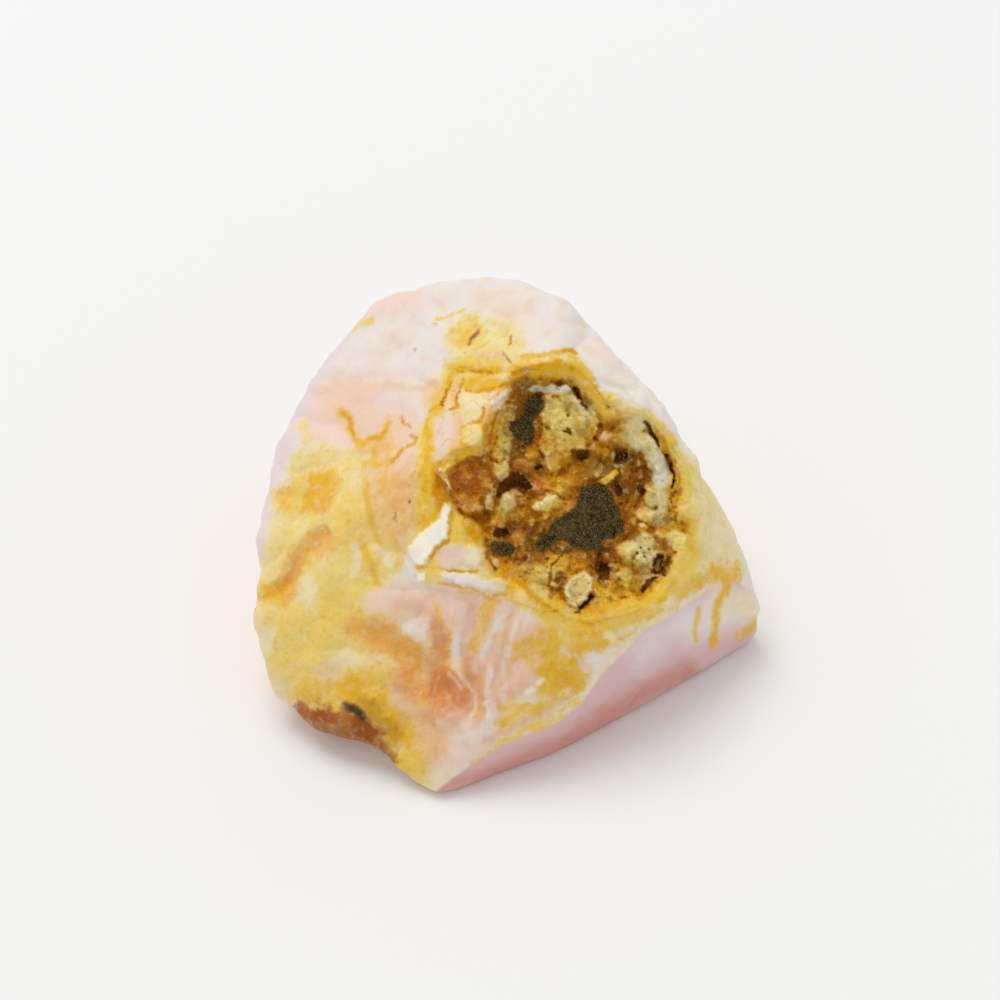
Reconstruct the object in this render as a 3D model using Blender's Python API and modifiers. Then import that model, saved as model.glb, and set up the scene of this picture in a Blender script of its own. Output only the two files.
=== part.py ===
"""Rough pink opal: a palm-size broken lump of pink opal with a crusted pocket in its upper face.

The stone stands on its broken foot. X runs to the right of the front tip, Y away from it, Z up.
Lengths are millimetres in the tables and metres in the scene.
"""

import math

import bmesh
import bpy
from mathutils import Matrix, Vector, noise

MM = 0.001

# The broken block: the corners where its fracture faces meet, in millimetres.
CORNERS = {
    # The keel runs from the front tip to the right tip, above a steep pink face.
    "front_tip": (-5.4, -16.4, 0.8),
    "front_tip_foot": (-4.4, -16.0, 0.0),
    "keel_near_tip": (-1.9, -15.2, 3.6),
    "keel_middle": (2.9, -13.2, 5.4),
    "keel_rise": (7.5, -10.2, 8.6),
    "keel_shoulder": (10.9, -7.4, 10.2),
    "keel_right": (15.2, -3.6, 8.8),
    "right_tip": (18.6, -1.6, 4.2),
    "right_tip_foot": (18.2, -1.2, 0.0),
    "foot_middle": (3.8, -12.0, 0.0),
    "foot_right": (11.9, -6.2, 0.0),
    # The skyline on the right drops from the top to the right tip.
    "sky_low": (16.3, 0.4, 9.4),
    "sky_middle": (15.0, 2.8, 11.8),
    "rim_right": (13.0, 2.2, 15.3),
    "rim_upper_right": (9.4, 4.6, 19.8),
    "back_slope_right": (10.6, 9.4, 14.8),
    "back_slope_top": (7.6, 10.2, 19.0),
    # The top is a short rough edge, highest behind the pocket.
    "top_right": (4.2, 11.0, 23.2),
    "top_middle": (-1.2, 14.4, 22.6),
    "top_left": (-5.6, 15.0, 21.0),
    "top_far_left": (-9.3, 16.0, 18.8),
    "face_top": (3.4, 5.0, 23.0),
    # The left side leans back and bulges outwards.
    "left_upper": (-13.4, 12.4, 16.2),
    "left_middle": (-16.6, 6.6, 13.2),
    "left_bulge": (-18.4, -1.2, 10.4),
    "left_low": (-18.6, -6.2, 7.0),
    "left_corner": (-17.0, -9.4, 2.6),
    "left_corner_foot": (-13.6, -6.6, 0.0),
    # The front face swells towards the pocket.
    "face_middle": (-5.0, -8.2, 12.0),
    "face_low": (5.7, -8.8, 12.4),
    "face_centre": (3.8, -3.4, 18.6),
    "face_left": (-5.4, -1.8, 18.4),
    "face_far_left": (-11.4, -0.8, 15.0),
    "face_lower_left": (-12.6, -7.6, 8.8),
    # The back breaks down in two steep steps.
    "back_step_left": (-11.6, 17.0, 9.0),
    "back_step_middle": (-1.8, 18.2, 11.6),
    "back_step_right": (7.4, 15.2, 8.2),
    "back_foot_left": (-9.6, 15.6, 0.0),
    "back_foot_middle": (1.4, 17.0, 0.0),
    "back_foot_right": (13.2, 8.4, 0.0),
    "side_foot_left": (-14.4, 6.0, 0.0),
}

# Shell-shaped hollows that blows have left: name, centre, radii and turn about Z in degrees.
SCALLOPS = (
    ("undercut_by_left_corner", (-11.2, -13.4, -0.8), (5.0, 4.4, 3.2), 30),
    ("undercut_left_foot", (-19.6, 0.5, -1.6), (5.0, 9.0, 4.4), 0),
    ("salmon_hollow", (-8.4, -6.4, 27.6), (6.6, 5.2, 10.8), 0),
    ("left_groove", (-15.6, -8.4, 15.4), (5.6, 2.4, 4.4), 28),
    ("front_hollow", (-5.6, -17.8, 11.0), (4.0, 5.2, 4.8), -20),
    ("front_left_dent", (-13.4, -15.4, 7.6), (3.4, 4.4, 4.0), 0),
    ("upper_left_plane", (-12.4, 5.8, 30.6), (14.0, 12.0, 13.0), 0),
    ("top_notch", (-6.2, 21.0, 25.0), (4.2, 5.6, 5.2), 0),
    ("shoulder_notch", (10.6, 12.2, 23.8), (5.2, 5.4, 5.6), 0),
    ("steep_face_hollow", (13.4, -15.4, 1.6), (11.0, 6.0, 6.6), 34),
    ("right_tip_chip", (20.8, -5.0, 10.0), (4.4, 4.4, 4.2), 0),
    ("keel_chip", (5.6, -15.8, 10.6), (2.4, 3.6, 4.2), 30),
    ("back_shell", (2.6, 24.4, 15.4), (10.4, 9.6, 8.4), 0),
    ("back_left_shell", (-17.4, 19.4, 12.8), (8.4, 9.2, 9.6), 0),
    ("back_right_shell", (17.4, 14.4, 7.4), (7.6, 8.8, 6.6), 0),
    ("back_foot_hollow", (-4.0, 20.4, -0.6), (6.6, 5.0, 3.6), 0),
)

FOOT_FADE = 1.2 * MM  # height over which the rough relief dies away to the flat foot
FOOT_TRIM = 0.15 * MM  # taken off the underside, so that the foot is one level face
FOOT_BOX = 60.0 * MM
BLOCK_VOXEL = 0.5 * MM
EDGE_WEAR = 2  # rounds of smoothing that take the knife edge off the fracture edges
BLOCK_SHARE = 0.18  # of the voxel mesh's triangles that the finished stone keeps
CUTTER_DETAIL = 4  # how often the balls that cut the stone are subdivided
CRUST_DETAIL = 5

# Relief of the broken skin: feature size and height of each octave, in millimetres.
RELIEF = ((9.0, 0.8), (4.2, 0.36), (1.9, 0.16))
SWELL_SHARE = 0.6  # of each octave that is a soft swell; the rest is creased
CREASE_LEVEL = 0.6  # the creased part's own middle height
CREASE_OFFSET = Vector((7.3, 2.1, 5.7))  # keeps the creases apart from the swells
STEEP_FACE = Vector((0.55, -0.83, -0.05)).normalized()  # the way the smooth pink face looks
STEEP_FACE_CALM = 0.35  # share of the relief that is left on that face

# The pocket: the middle of its rim plane, the way it faces, and its outline.
POCKET_CENTRE = Vector((4.3, -1.6, 16.7)) * MM
POCKET_FACING = Vector((0.20, -0.62, 0.76)).normalized()
# Outline: direction in degrees anticlockwise from the pocket's right, and reach in millimetres.
POCKET_OUTLINE = (
    (0, 7.9), (30, 7.7), (50, 6.8), (68, 6.7), (88, 7.8), (105, 8.0), (120, 7.8),
    (140, 6.5), (155, 6.5), (178, 8.7), (195, 8.3), (215, 7.2), (235, 7.7), (255, 7.7),
    (275, 8.3), (295, 8.1), (315, 8.4), (340, 8.1),
)
POCKET_DEPTH = 2.9 * MM
CUTTER_HEIGHT = 4.5 * MM  # how far the pocket's cutter stands up over the rim plane
CUTTER_FLARE = 0.3  # how much wider the cutter is at its top, as a share of its reach
CRUST_GAP = 0.34 * MM  # clear space between the crust and the pocket's wall
CRUST_LEVEL = -0.9 * MM  # the crust's general level below the rim plane
CRUST_SHARE = 0.11
EDGE_ROUNDS = 14  # halvings that find where the crust's surface meets the bowl
# Knobs and pits of the crust: name, place across and up the pocket, radius and height.
KNOBS = (
    ("pale_upper_block", (-0.9, 4.2), 2.4, 1.0),
    ("blue_white_edge", (-0.6, 6.2), 1.3, 0.8),
    ("rim_knob_top", (3.7, 3.7), 1.7, 1.1),
    ("rim_knob_right", (5.3, 1.4), 1.7, 1.2),
    ("rim_knob_low", (5.6, -1.2), 1.3, 0.9),
    ("speckled_knob", (4.6, -4.6), 1.8, 1.2),
    ("pale_yellow_knob", (6.4, -3.2), 1.5, 0.8),
    ("grey_point", (0.9, -6.2), 1.5, 1.2),
    ("brown_block", (-6.8, 0.6), 2.1, 1.2),
    ("pale_knob_middle", (-4.2, -1.4), 1.2, 0.7),
    ("yellow_ridge", (-1.9, -1.4), 1.3, 0.7),
    ("pebble", (2.2, 3.0), 0.8, 0.5),
    ("black_patch_upper", (-2.9, 4.2), 1.4, -0.7),
    ("black_patch_main", (1.6, -2.4), 2.3, -0.5),
    ("red_hole", (-3.8, 0.2), 1.2, -1.1),
    ("edge_hole_right", (6.2, -5.2), 1.0, -1.0),
    ("low_hole", (0.6, -7.4), 0.8, -0.8),
    ("low_left_hole", (-4.9, -3.2), 0.8, -0.7),
)
KNOB_ROUGHNESS = ((1.6, 0.3), (0.7, 0.14))

STONE_PINK = (0.86, 0.62, 0.56, 1.0)
CRUST_BROWN = (0.42, 0.27, 0.12, 1.0)


def empty_scene():
    for old in list(bpy.data.objects):
        bpy.data.objects.remove(old)


def new_collection(name):
    collection = bpy.data.collections.new(name)
    bpy.context.scene.collection.children.link(collection)
    return collection


def new_object(name, shape, collection):
    """An object in the collection, its mesh made from the bmesh."""
    mesh = bpy.data.meshes.new(name)
    shape.to_mesh(mesh)
    shape.free()
    made = bpy.data.objects.new(name, mesh)
    collection.objects.link(made)
    return made


def new_material(name, colour, roughness):
    material = bpy.data.materials.new(name)
    material.use_nodes = True
    shader = material.node_tree.nodes["Principled BSDF"]
    shader.inputs["Base Color"].default_value = colour
    shader.inputs["Roughness"].default_value = roughness
    shader.inputs["Metallic"].default_value = 0.0
    return material


def bake_modifiers(thing):
    """Replaces the object's mesh with what its modifiers make of it."""
    graph = bpy.context.evaluated_depsgraph_get()
    mesh = bpy.data.meshes.new_from_object(thing.evaluated_get(graph))
    thing.modifiers.clear()
    thing.data = mesh


def cut_with(thing, cutter, name):
    """Takes the cutter's shape out of the thing."""
    cutter.hide_render = True
    cutter.display_type = "WIRE"
    cut = thing.modifiers.new(name, "BOOLEAN")
    cut.operation = "DIFFERENCE"
    cut.object = cutter


def thin_out(thing, share):
    """Keeps this share of the triangles, most of them where the shape bends."""
    thinner = thing.modifiers.new("thin_out", "DECIMATE")
    thinner.ratio = share


def relief(place, octaves):
    """How far the broken skin stands out at a place, in metres: swells with creases between them."""
    height = 0.0
    for size, rise in octaves:
        swell = noise.noise(place / (size * MM))
        crease = 1.0 - 2.0 * abs(noise.noise(place / (size * MM) + CREASE_OFFSET))
        height += rise * MM * (SWELL_SHARE * swell + (1.0 - SWELL_SHARE) * (crease - CREASE_LEVEL))
    return height


def smooth_step(value, low, high):
    share = min(1.0, max(0.0, (value - low) / (high - low)))
    return share * share * (3.0 - 2.0 * share)


def block():
    """The convex block that all the corners span."""
    shape = bmesh.new()
    for corner in CORNERS.values():
        shape.verts.new(Vector(corner) * MM)
    spanned = bmesh.ops.convex_hull(shape, input=shape.verts)
    inner = [e for e in spanned["geom_interior"] if isinstance(e, bmesh.types.BMVert)]
    bmesh.ops.delete(shape, geom=inner, context="VERTS")
    bmesh.ops.recalc_face_normals(shape, faces=shape.faces)
    return shape


def scallop(centre, radii, turn):
    """A ball flattened to the three radii, turned about Z."""
    shape = bmesh.new()
    bmesh.ops.create_icosphere(shape, subdivisions=CUTTER_DETAIL, radius=1.0)
    place = (
        Matrix.Translation(Vector(centre) * MM)
        @ Matrix.Rotation(math.radians(turn), 4, "Z")
        @ Matrix.Diagonal(Vector(radii) * MM).to_4x4()
    )
    bmesh.ops.transform(shape, matrix=place, verts=shape.verts)
    return shape


def foot_cutter():
    """A box that reaches from far below up to the foot's level."""
    shape = bmesh.new()
    bmesh.ops.create_cube(shape, size=FOOT_BOX)
    bmesh.ops.translate(shape, vec=(0.0, 0.0, FOOT_TRIM - FOOT_BOX / 2), verts=shape.verts)
    return shape


def roughen(mesh):
    """Moves the skin in and out along its normals, and keeps the foot flat."""
    normals = [vertex.normal.copy() for vertex in mesh.vertices]
    for vertex, normal in zip(mesh.vertices, normals):
        fade = smooth_step(vertex.co.z, 0.0, FOOT_FADE)
        steep = smooth_step(normal.dot(STEEP_FACE), 0.6, 0.9)
        fade *= 1.0 - steep * (1.0 - STEEP_FACE_CALM)
        vertex.co += normal * relief(vertex.co, RELIEF) * fade
        vertex.co.z = max(vertex.co.z, 0.0)


def pocket_axes():
    """The pocket's frame: across, up and outwards."""
    across = Vector((1.0, 0.0, 0.0))
    across = (across - POCKET_FACING * across.dot(POCKET_FACING)).normalized()
    up = POCKET_FACING.cross(across)
    frame = Matrix((across, up, POCKET_FACING)).transposed().to_4x4()
    return Matrix.Translation(POCKET_CENTRE) @ frame


def pocket_reach(across, up):
    """How far the pocket's outline lies from its middle in this direction, in metres."""
    angle = math.degrees(math.atan2(up, across)) % 360.0
    marks = POCKET_OUTLINE + ((360, POCKET_OUTLINE[0][1]),)
    for (start, near), (end, far) in zip(marks, marks[1:]):
        if angle <= end:
            return (near + (far - near) * smooth_step(angle, start, end)) * MM
    return marks[-1][1] * MM


def pocket_cutter():
    """A bowl below the rim plane and a flared plug above it, in the pocket's frame."""
    shape = bmesh.new()
    bmesh.ops.create_icosphere(shape, subdivisions=CUTTER_DETAIL, radius=1.0)
    for vertex in shape.verts:
        across, up, out = vertex.co
        reach = pocket_reach(across, up)
        if out > 0.0:
            steep = (1.0 - out**6) ** (1 / 6) / max(math.hypot(across, up), 0.01)
            reach *= steep * (1.0 + CUTTER_FLARE * out)
        vertex.co = (across * reach, up * reach, out * (CUTTER_HEIGHT if out > 0.0 else POCKET_DEPTH))
    return shape


def crust_height(across, up):
    """The crust's surface above or below the rim plane, in metres."""
    height = CRUST_LEVEL
    for _, (knob_across, knob_up), radius, rise in KNOBS:
        away = math.hypot(across - knob_across * MM, up - knob_up * MM) / (radius * MM)
        if away < 1.0:
            height += rise * MM * (1.0 - away**4) ** 2
    return height + relief(Vector((across, up, 0.0)), KNOB_ROUGHNESS)


def crust_edge(across, up, reach, depth):
    """The share of the reach at which the crust's surface meets the bowl below it."""
    low, high = 0.0, 1.0
    for _ in range(EDGE_ROUNDS):
        share = (low + high) / 2
        floor = -depth * math.sqrt(1.0 - share**2)
        if floor < crust_height(across * reach * share, up * reach * share):
            low = share
        else:
            high = share
    return low


def make_crust(collection, frame):
    """The crust: it fills the bowl, and its upper side follows the knobs and pits."""
    shape = bmesh.new()
    bmesh.ops.create_icosphere(shape, subdivisions=CRUST_DETAIL, radius=1.0)
    depth = POCKET_DEPTH - CRUST_GAP
    for vertex in shape.verts:
        across, up, out = vertex.co
        reach = pocket_reach(across, up) - CRUST_GAP
        share = max(math.hypot(across, up), 0.001)
        edge = crust_edge(across / share, up / share, reach, depth)
        across, up = across * reach * edge, up * reach * edge
        floor = -depth * math.sqrt(max(0.0, 1.0 - (share * edge) ** 2))
        vertex.co = (across, up, crust_height(across, up) if out > 0.0 else floor)
    bmesh.ops.transform(shape, matrix=frame, verts=shape.verts)
    crust = new_object("pocket_crust", shape, collection)
    thin_out(crust, CRUST_SHARE)
    crust.data.materials.append(new_material("crust", CRUST_BROWN, 0.75))
    return crust


def even_skin(thing, name):
    """Gives the thing one even skin of small faces."""
    skin = thing.modifiers.new(name, "REMESH")
    skin.mode = "VOXEL"
    skin.voxel_size = BLOCK_VOXEL


def make_stone(collection, cutters, frame):
    """The stone: the block, its scallops, its rough skin, and then the pocket."""
    stone = new_object("opal_stone", block(), collection)
    for name, centre, radii, turn in SCALLOPS:
        cut_with(stone, new_object(name, scallop(centre, radii, turn), cutters), name)
    even_skin(stone, "skin_to_roughen")
    worn = stone.modifiers.new("worn_edges", "SMOOTH")
    worn.factor = 0.5
    worn.iterations = EDGE_WEAR
    bake_modifiers(stone)
    roughen(stone.data)
    even_skin(stone, "skin_without_folds")
    thin_out(stone, BLOCK_SHARE)
    cut_with(stone, new_object("foot_cutter", foot_cutter(), cutters), "level_foot")
    cutter = pocket_cutter()
    bmesh.ops.transform(cutter, matrix=frame, verts=cutter.verts)
    cut_with(stone, new_object("pocket_cutter", cutter, cutters), "pocket")
    stone.data.materials.append(new_material("opal", STONE_PINK, 0.35))
    return stone


def stand_on_origin(things):
    """Moves everything so that the middle of the stone's foot box is the origin."""
    stone = bpy.data.objects["opal_stone"]
    graph = bpy.context.evaluated_depsgraph_get()
    corners = [Vector(corner) for corner in stone.evaluated_get(graph).bound_box]
    low = Vector(map(min, *corners))
    high = Vector(map(max, *corners))
    shift = Vector((-(low.x + high.x) / 2, -(low.y + high.y) / 2, -low.z))
    for thing in things:
        thing.data.transform(Matrix.Translation(shift))
    print("moved by", [round(value / MM, 3) for value in shift], "mm")


def main():
    empty_scene()
    parts = new_collection("rough_pink_opal")
    cutters = new_collection("cutters")
    frame = pocket_axes()
    make_stone(parts, cutters, frame)
    make_crust(parts, frame)
    stand_on_origin(list(parts.objects) + list(cutters.objects))


main()
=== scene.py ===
# %% [markdown]
# # A lump of rough pink opal
#
# Common opal has no play of colour. It is waxy, it lets a little light in, and iron stains it
# honey yellow and amber along its cracks. This lump broke from a vein: pale pink above, yellow at
# the left, with a hollow in its upper face that is lined with a rough crust of iron and manganese
# minerals and small knobs of grey chalcedony.
#
# The solid model gives the true form. This script gives it a fine skin, colours and light.

# %% The solid model
import math

import bmesh
import bpy
import numpy as np
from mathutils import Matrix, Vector, noise
from mathutils.bvhtree import BVHTree


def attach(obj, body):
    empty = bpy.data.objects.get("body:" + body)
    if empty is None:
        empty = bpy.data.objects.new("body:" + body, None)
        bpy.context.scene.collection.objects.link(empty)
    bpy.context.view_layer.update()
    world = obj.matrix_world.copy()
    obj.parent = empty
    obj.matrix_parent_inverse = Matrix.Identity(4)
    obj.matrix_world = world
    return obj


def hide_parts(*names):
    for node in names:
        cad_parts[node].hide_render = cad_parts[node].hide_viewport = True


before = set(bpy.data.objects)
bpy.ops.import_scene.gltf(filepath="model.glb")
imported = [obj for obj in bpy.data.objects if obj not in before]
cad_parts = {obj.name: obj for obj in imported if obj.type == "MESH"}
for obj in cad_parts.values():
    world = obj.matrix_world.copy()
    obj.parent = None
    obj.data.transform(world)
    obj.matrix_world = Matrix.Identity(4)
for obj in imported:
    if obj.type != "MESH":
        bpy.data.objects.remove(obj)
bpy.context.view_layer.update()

MM = 0.001

# %% [markdown]
# ## The camera
#
# Every mark on the stone is placed where a camera sees it, so the camera comes first. A long lens
# close to the stone looks down at 45 degrees. One function turns a place on the stone into the
# pixel where it appears, and another gives the line of sight through a pixel. Both are worked out
# once, in the stone's own space, so the marks stay on the stone when it is seen from elsewhere.

# %% The camera
PICTURE = 1000.0  # the picture's width and height in pixels
LENS = 120.0  # focal length in millimetres
SENSOR = 36.0
LOOK_DOWN = math.radians(45.0)
AIM = np.array((-0.777, -1.911, 14.35)) * MM
DISTANCE = 234.0 * MM
FOCAL = LENS / SENSOR * PICTURE
RIGHT = np.array((1.0, 0.0, 0.0))
UP = np.array((0.0, math.sin(LOOK_DOWN), math.cos(LOOK_DOWN)))
AHEAD = np.array((0.0, math.cos(LOOK_DOWN), -math.sin(LOOK_DOWN)))
EYE = AIM - AHEAD * DISTANCE

camera_data = bpy.data.cameras.new("camera")
camera_data.lens = LENS
camera_data.sensor_width = SENSOR
camera_data.clip_start = 0.01
camera = bpy.data.objects.new("camera", camera_data)
camera.location = EYE
camera.rotation_euler = (math.pi / 2 - LOOK_DOWN, 0.0, 0.0)
bpy.context.scene.collection.objects.link(camera)
bpy.context.scene.camera = camera


def in_picture(places):
    """The pixel where each place appears."""
    seen = places - EYE
    depth = seen @ AHEAD
    across = PICTURE / 2 + FOCAL * (seen @ RIGHT) / depth
    down = PICTURE / 2 - FOCAL * (seen @ UP) / depth
    return np.column_stack((across, down))


def sight_lines(pixels):
    """The direction from the eye through each pixel, of length one."""
    across = (pixels[:, 0:1] - PICTURE / 2) / FOCAL
    up = (PICTURE / 2 - pixels[:, 1:2]) / FOCAL
    lines = AHEAD + across * RIGHT + up * UP
    return lines / np.linalg.norm(lines, axis=1, keepdims=True)


print("one pixel is", round(DISTANCE / FOCAL / MM, 4), "mm at the stone")

# %% [markdown]
# ## Noise and soft steps
#
# Nothing on a natural stone is straight or even. Blender's own noise function gives the swells, and
# a crease is the same noise folded at zero, which leaves sharp valleys like those of broken opal.

# %% Noise and soft steps
def smooth(value, low, high):
    """0 below low, 1 above high, and a soft ramp between them."""
    share = np.clip((value - low) / (high - low), 0.0, 1.0)
    return share * share * (3.0 - 2.0 * share)


def swell(places, size, seed=0):
    """Soft noise from about -1 to 1, with features of this size in millimetres."""
    start = Vector((17.3, 5.1, 9.7)) * seed
    scaled = places / (size * MM)
    return np.fromiter((noise.noise(Vector(place) + start) for place in scaled), float, len(places))


def swells(places, parts):
    """Several swells together; each part is its strength, size and seed."""
    return sum(strength * swell(places, size, seed) for strength, size, seed in parts)


def crease(places, size, seed=0):
    """Rounded humps with sharp valleys between them, from about -1 to 1."""
    return 2.0 * np.abs(swell(places, size, seed)) ** 0.7 - 0.7


def cells(places, size, seed=0):
    """Closely packed round grains: 1 at the middle of each, 0 where two meet."""
    start = Vector((3.1, 8.7, 4.3)) * seed
    scaled = places / (size * MM)
    nearest = (noise.voronoi(Vector(place) + start)[0] for place in scaled)
    gap = np.fromiter((far[1] - far[0] for far in nearest), float, len(places))
    return np.clip(gap, 0.0, 1.0)


noise.seed_set(5)  # without a seed, Blender's noise vectors start from the clock
TILT_SPREAD = 5.3  # far-apart places of the noise for neighbouring grains
SCATTER = Vector((12.9, 78.2, 37.7))  # these two turn a place into a number that looks random
SCATTER_SCALE = 437.5


def facets(places, size, seed=0):
    """Broken grains: the height of each grain's tilted face, and its own number from 0 to 1."""
    start = Vector((3.1, 8.7, 4.3)) * seed
    tilts, numbers = [], []
    for place in places / (size * MM):
        where = Vector(place) + start
        middle = noise.voronoi(where)[1][0]
        tilts.append((where - middle).dot(noise.noise_vector(middle * TILT_SPREAD)))
        numbers.append(math.sin(middle.dot(SCATTER)) * SCATTER_SCALE % 1.0)
    return np.array(tilts), np.array(numbers)


# %% [markdown]
# ## Spots, lines and patches
#
# Stains, cracks, knobs and holes are all placed with three kinds of mark. A spot is an oval with a
# soft edge, a line is a string of points with a width, and a patch is an outline. Each gives a
# number for every point of the mesh: how strongly the mark covers it.

# %% Spots, lines and patches
def in_oval(pixels, middle, reach, turn):
    """How far each point lies along and across a turned oval, as shares of its reach."""
    angle = math.radians(turn)
    away = pixels - np.array(middle)
    along = (away[:, 0] * math.cos(angle) + away[:, 1] * math.sin(angle)) / reach[0]
    across = (away[:, 1] * math.cos(angle) - away[:, 0] * math.sin(angle)) / reach[1]
    return along, across


def spot(pixels, middle, reach, turn=0.0, soft=0.6):
    """1 in the oval's middle and 0 outside it; soft is the share of the reach that fades."""
    return smooth(1.0 - np.hypot(*in_oval(pixels, middle, reach, turn)), 0.0, soft)


def dome(pixels, middle, reach, turn=0.0):
    """A round knob: 1 on top, falling ever faster to 0 at its edge."""
    along, across = in_oval(pixels, middle, reach, turn)
    return np.clip(1.0 - along**2 - across**2, 0.0, 1.0)


def from_line(pixels, points):
    """How many pixels each point lies from a line through these points."""
    nearest = np.full(len(pixels), 1e9)
    for start, end in zip(np.array(points[:-1], float), np.array(points[1:], float)):
        run = end - start
        share = np.clip(((pixels - start) @ run) / (run @ run), 0.0, 1.0)
        nearest = np.minimum(nearest, np.hypot(*(pixels - start - share[:, None] * run).T))
    return nearest


def along_line(pixels, points, width, core=0.0):
    """1 on the line and 0 past its half width; core is the share of the width that stays full."""
    return 1.0 - smooth(from_line(pixels, points), core * width, width)


def into_patch(pixels, corners):
    """How many pixels each point lies inside the outline, below zero outside it."""
    closed = list(corners) + [corners[0]]
    inside = np.zeros(len(pixels), bool)
    x, y = pixels.T
    for (x1, y1), (x2, y2) in zip(closed[:-1], closed[1:]):
        spans = (y1 > y) != (y2 > y)
        if y1 != y2:
            inside ^= spans & (x < (x2 - x1) * (y - y1) / (y2 - y1) + x1)
    away = from_line(pixels, closed)
    return np.where(inside, away, -away)


# %% [markdown]
# ## The colours
#
# These are the stone's own colours, named as a collector would name them. They are mixed as the
# eye sees them and turned into light values last, because a mix of light values goes muddy.

# %% The colours
COLOURS = {
    "milk": (238, 228, 221),
    "lilac_white": (232, 216, 218),
    "blush": (243, 212, 196),
    "petal": (236, 194, 166),
    "salmon": (242, 196, 142),
    "apricot": (242, 176, 76),
    "coral": (224, 138, 82),
    "rose": (212, 148, 138),
    "mauve": (226, 190, 190),
    "butter": (243, 222, 140),
    "cream": (244, 230, 194),
    "honey": (244, 210, 96),
    "mustard": (238, 186, 44),
    "amber": (220, 148, 8),
    "burnt_amber": (176, 94, 0),
    "ochre": (206, 156, 34),
    "rust": (142, 74, 10),
    "brick": (160, 78, 14),
    "tan": (206, 140, 56),
    "clay": (168, 94, 24),
    "olive": (134, 106, 44),
    "umber": (80, 44, 8),
    "dark_red": (54, 20, 4),
    "soot": (50, 43, 20),
    "chalk": (254, 248, 228),
    "moss_grey": (214, 196, 108),
    "pale_sage": (224, 216, 164),
    "blue_grey": (214, 213, 194),
    "ash": (166, 144, 84),
}


def colour(name):
    """A named colour as the eye sees it, each part from 0 to 1."""
    return np.array(COLOURS[name]) / 255.0


def to_light(seen):
    """Screen colours as light values."""
    return np.where(seen <= 0.04045, seen / 12.92, ((seen + 0.055) / 1.055) ** 2.4)


def lay(tint, name, share):
    """Lays a colour over the tint, by a share for each point."""
    tint += (colour(name) - tint) * share[:, None]


def lay_where(tint, name, value, start, full, strength):
    """Lays a colour where a value rises from start to full, with this strength at most."""
    lay(tint, name, smooth(value, start, full) * strength)


print(len(COLOURS), "colours")

# %% [markdown]
# ## The stone's fine skin
#
# The solid model has a few thousand flat faces. A voxel remesh turns a copy of it into an even
# skin, and a few rounds of smoothing take the facets out. The faces that look at the camera are
# divided once more, because that side carries the finest marks.

# %% The stone's fine skin
SKIN_VOXEL = 0.33 * MM
FACET_SMOOTHING = 7
FRONT_LOOKS = 0.12  # how squarely a face must look at the camera to be divided


def new_piece(name, shape):
    """An object made from a bmesh, which is freed."""
    mesh = bpy.data.meshes.new(name)
    shape.to_mesh(mesh)
    shape.free()
    piece = bpy.data.objects.new(name, mesh)
    bpy.context.scene.collection.objects.link(piece)
    return piece


def bake_modifiers(piece):
    """Replaces the piece's mesh with what its modifiers make of it."""
    graph = bpy.context.evaluated_depsgraph_get()
    mesh = bpy.data.meshes.new_from_object(piece.evaluated_get(graph))
    piece.modifiers.clear()
    piece.data = mesh


def read_places(mesh):
    places = np.empty(len(mesh.vertices) * 3)
    mesh.vertices.foreach_get("co", places)
    return places.reshape(-1, 3)


def read_normals(mesh):
    normals = np.empty(len(mesh.vertices) * 3, np.float32)
    mesh.vertex_normals.foreach_get("vector", normals)
    return normals.reshape(-1, 3).astype(float)


def set_places(mesh, places):
    mesh.vertices.foreach_set("co", places.ravel())
    mesh.update()


solid = bmesh.new()
solid.from_mesh(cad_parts["opal_stone"].data)
bmesh.ops.remove_doubles(solid, verts=solid.verts, dist=1e-6)
stone = new_piece("opal_skin", solid)
even = stone.modifiers.new("even_skin", "REMESH")
even.mode = "VOXEL"
even.voxel_size = SKIN_VOXEL
soften = stone.modifiers.new("soften_facets", "SMOOTH")
soften.factor = 0.5
soften.iterations = FACET_SMOOTHING
bake_modifiers(stone)

fine = bmesh.new()
fine.from_mesh(stone.data)
toward = Vector(-AHEAD)
front = [face for face in fine.faces if face.normal.dot(toward) > FRONT_LOOKS]
front_edges = list({edge for face in front for edge in face.edges})
bmesh.ops.subdivide_edges(fine, edges=front_edges, cuts=1, use_grid_fill=True)
bmesh.ops.smooth_vert(
    fine, verts=fine.verts, factor=0.5, use_axis_x=True, use_axis_y=True, use_axis_z=True
)
bmesh.ops.triangulate(fine, faces=[face for face in fine.faces if len(face.verts) > 4])
fine.to_mesh(stone.data)
fine.free()
print("skin:", len(stone.data.vertices), "points")

# %% [markdown]
# ## The relief of the skin
#
# Broken opal is smooth but not flat: low swells, a few sharp creases, and thin furrows where iron
# has eaten into a crack. The points move along their normals. The foot stays flat.

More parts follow.
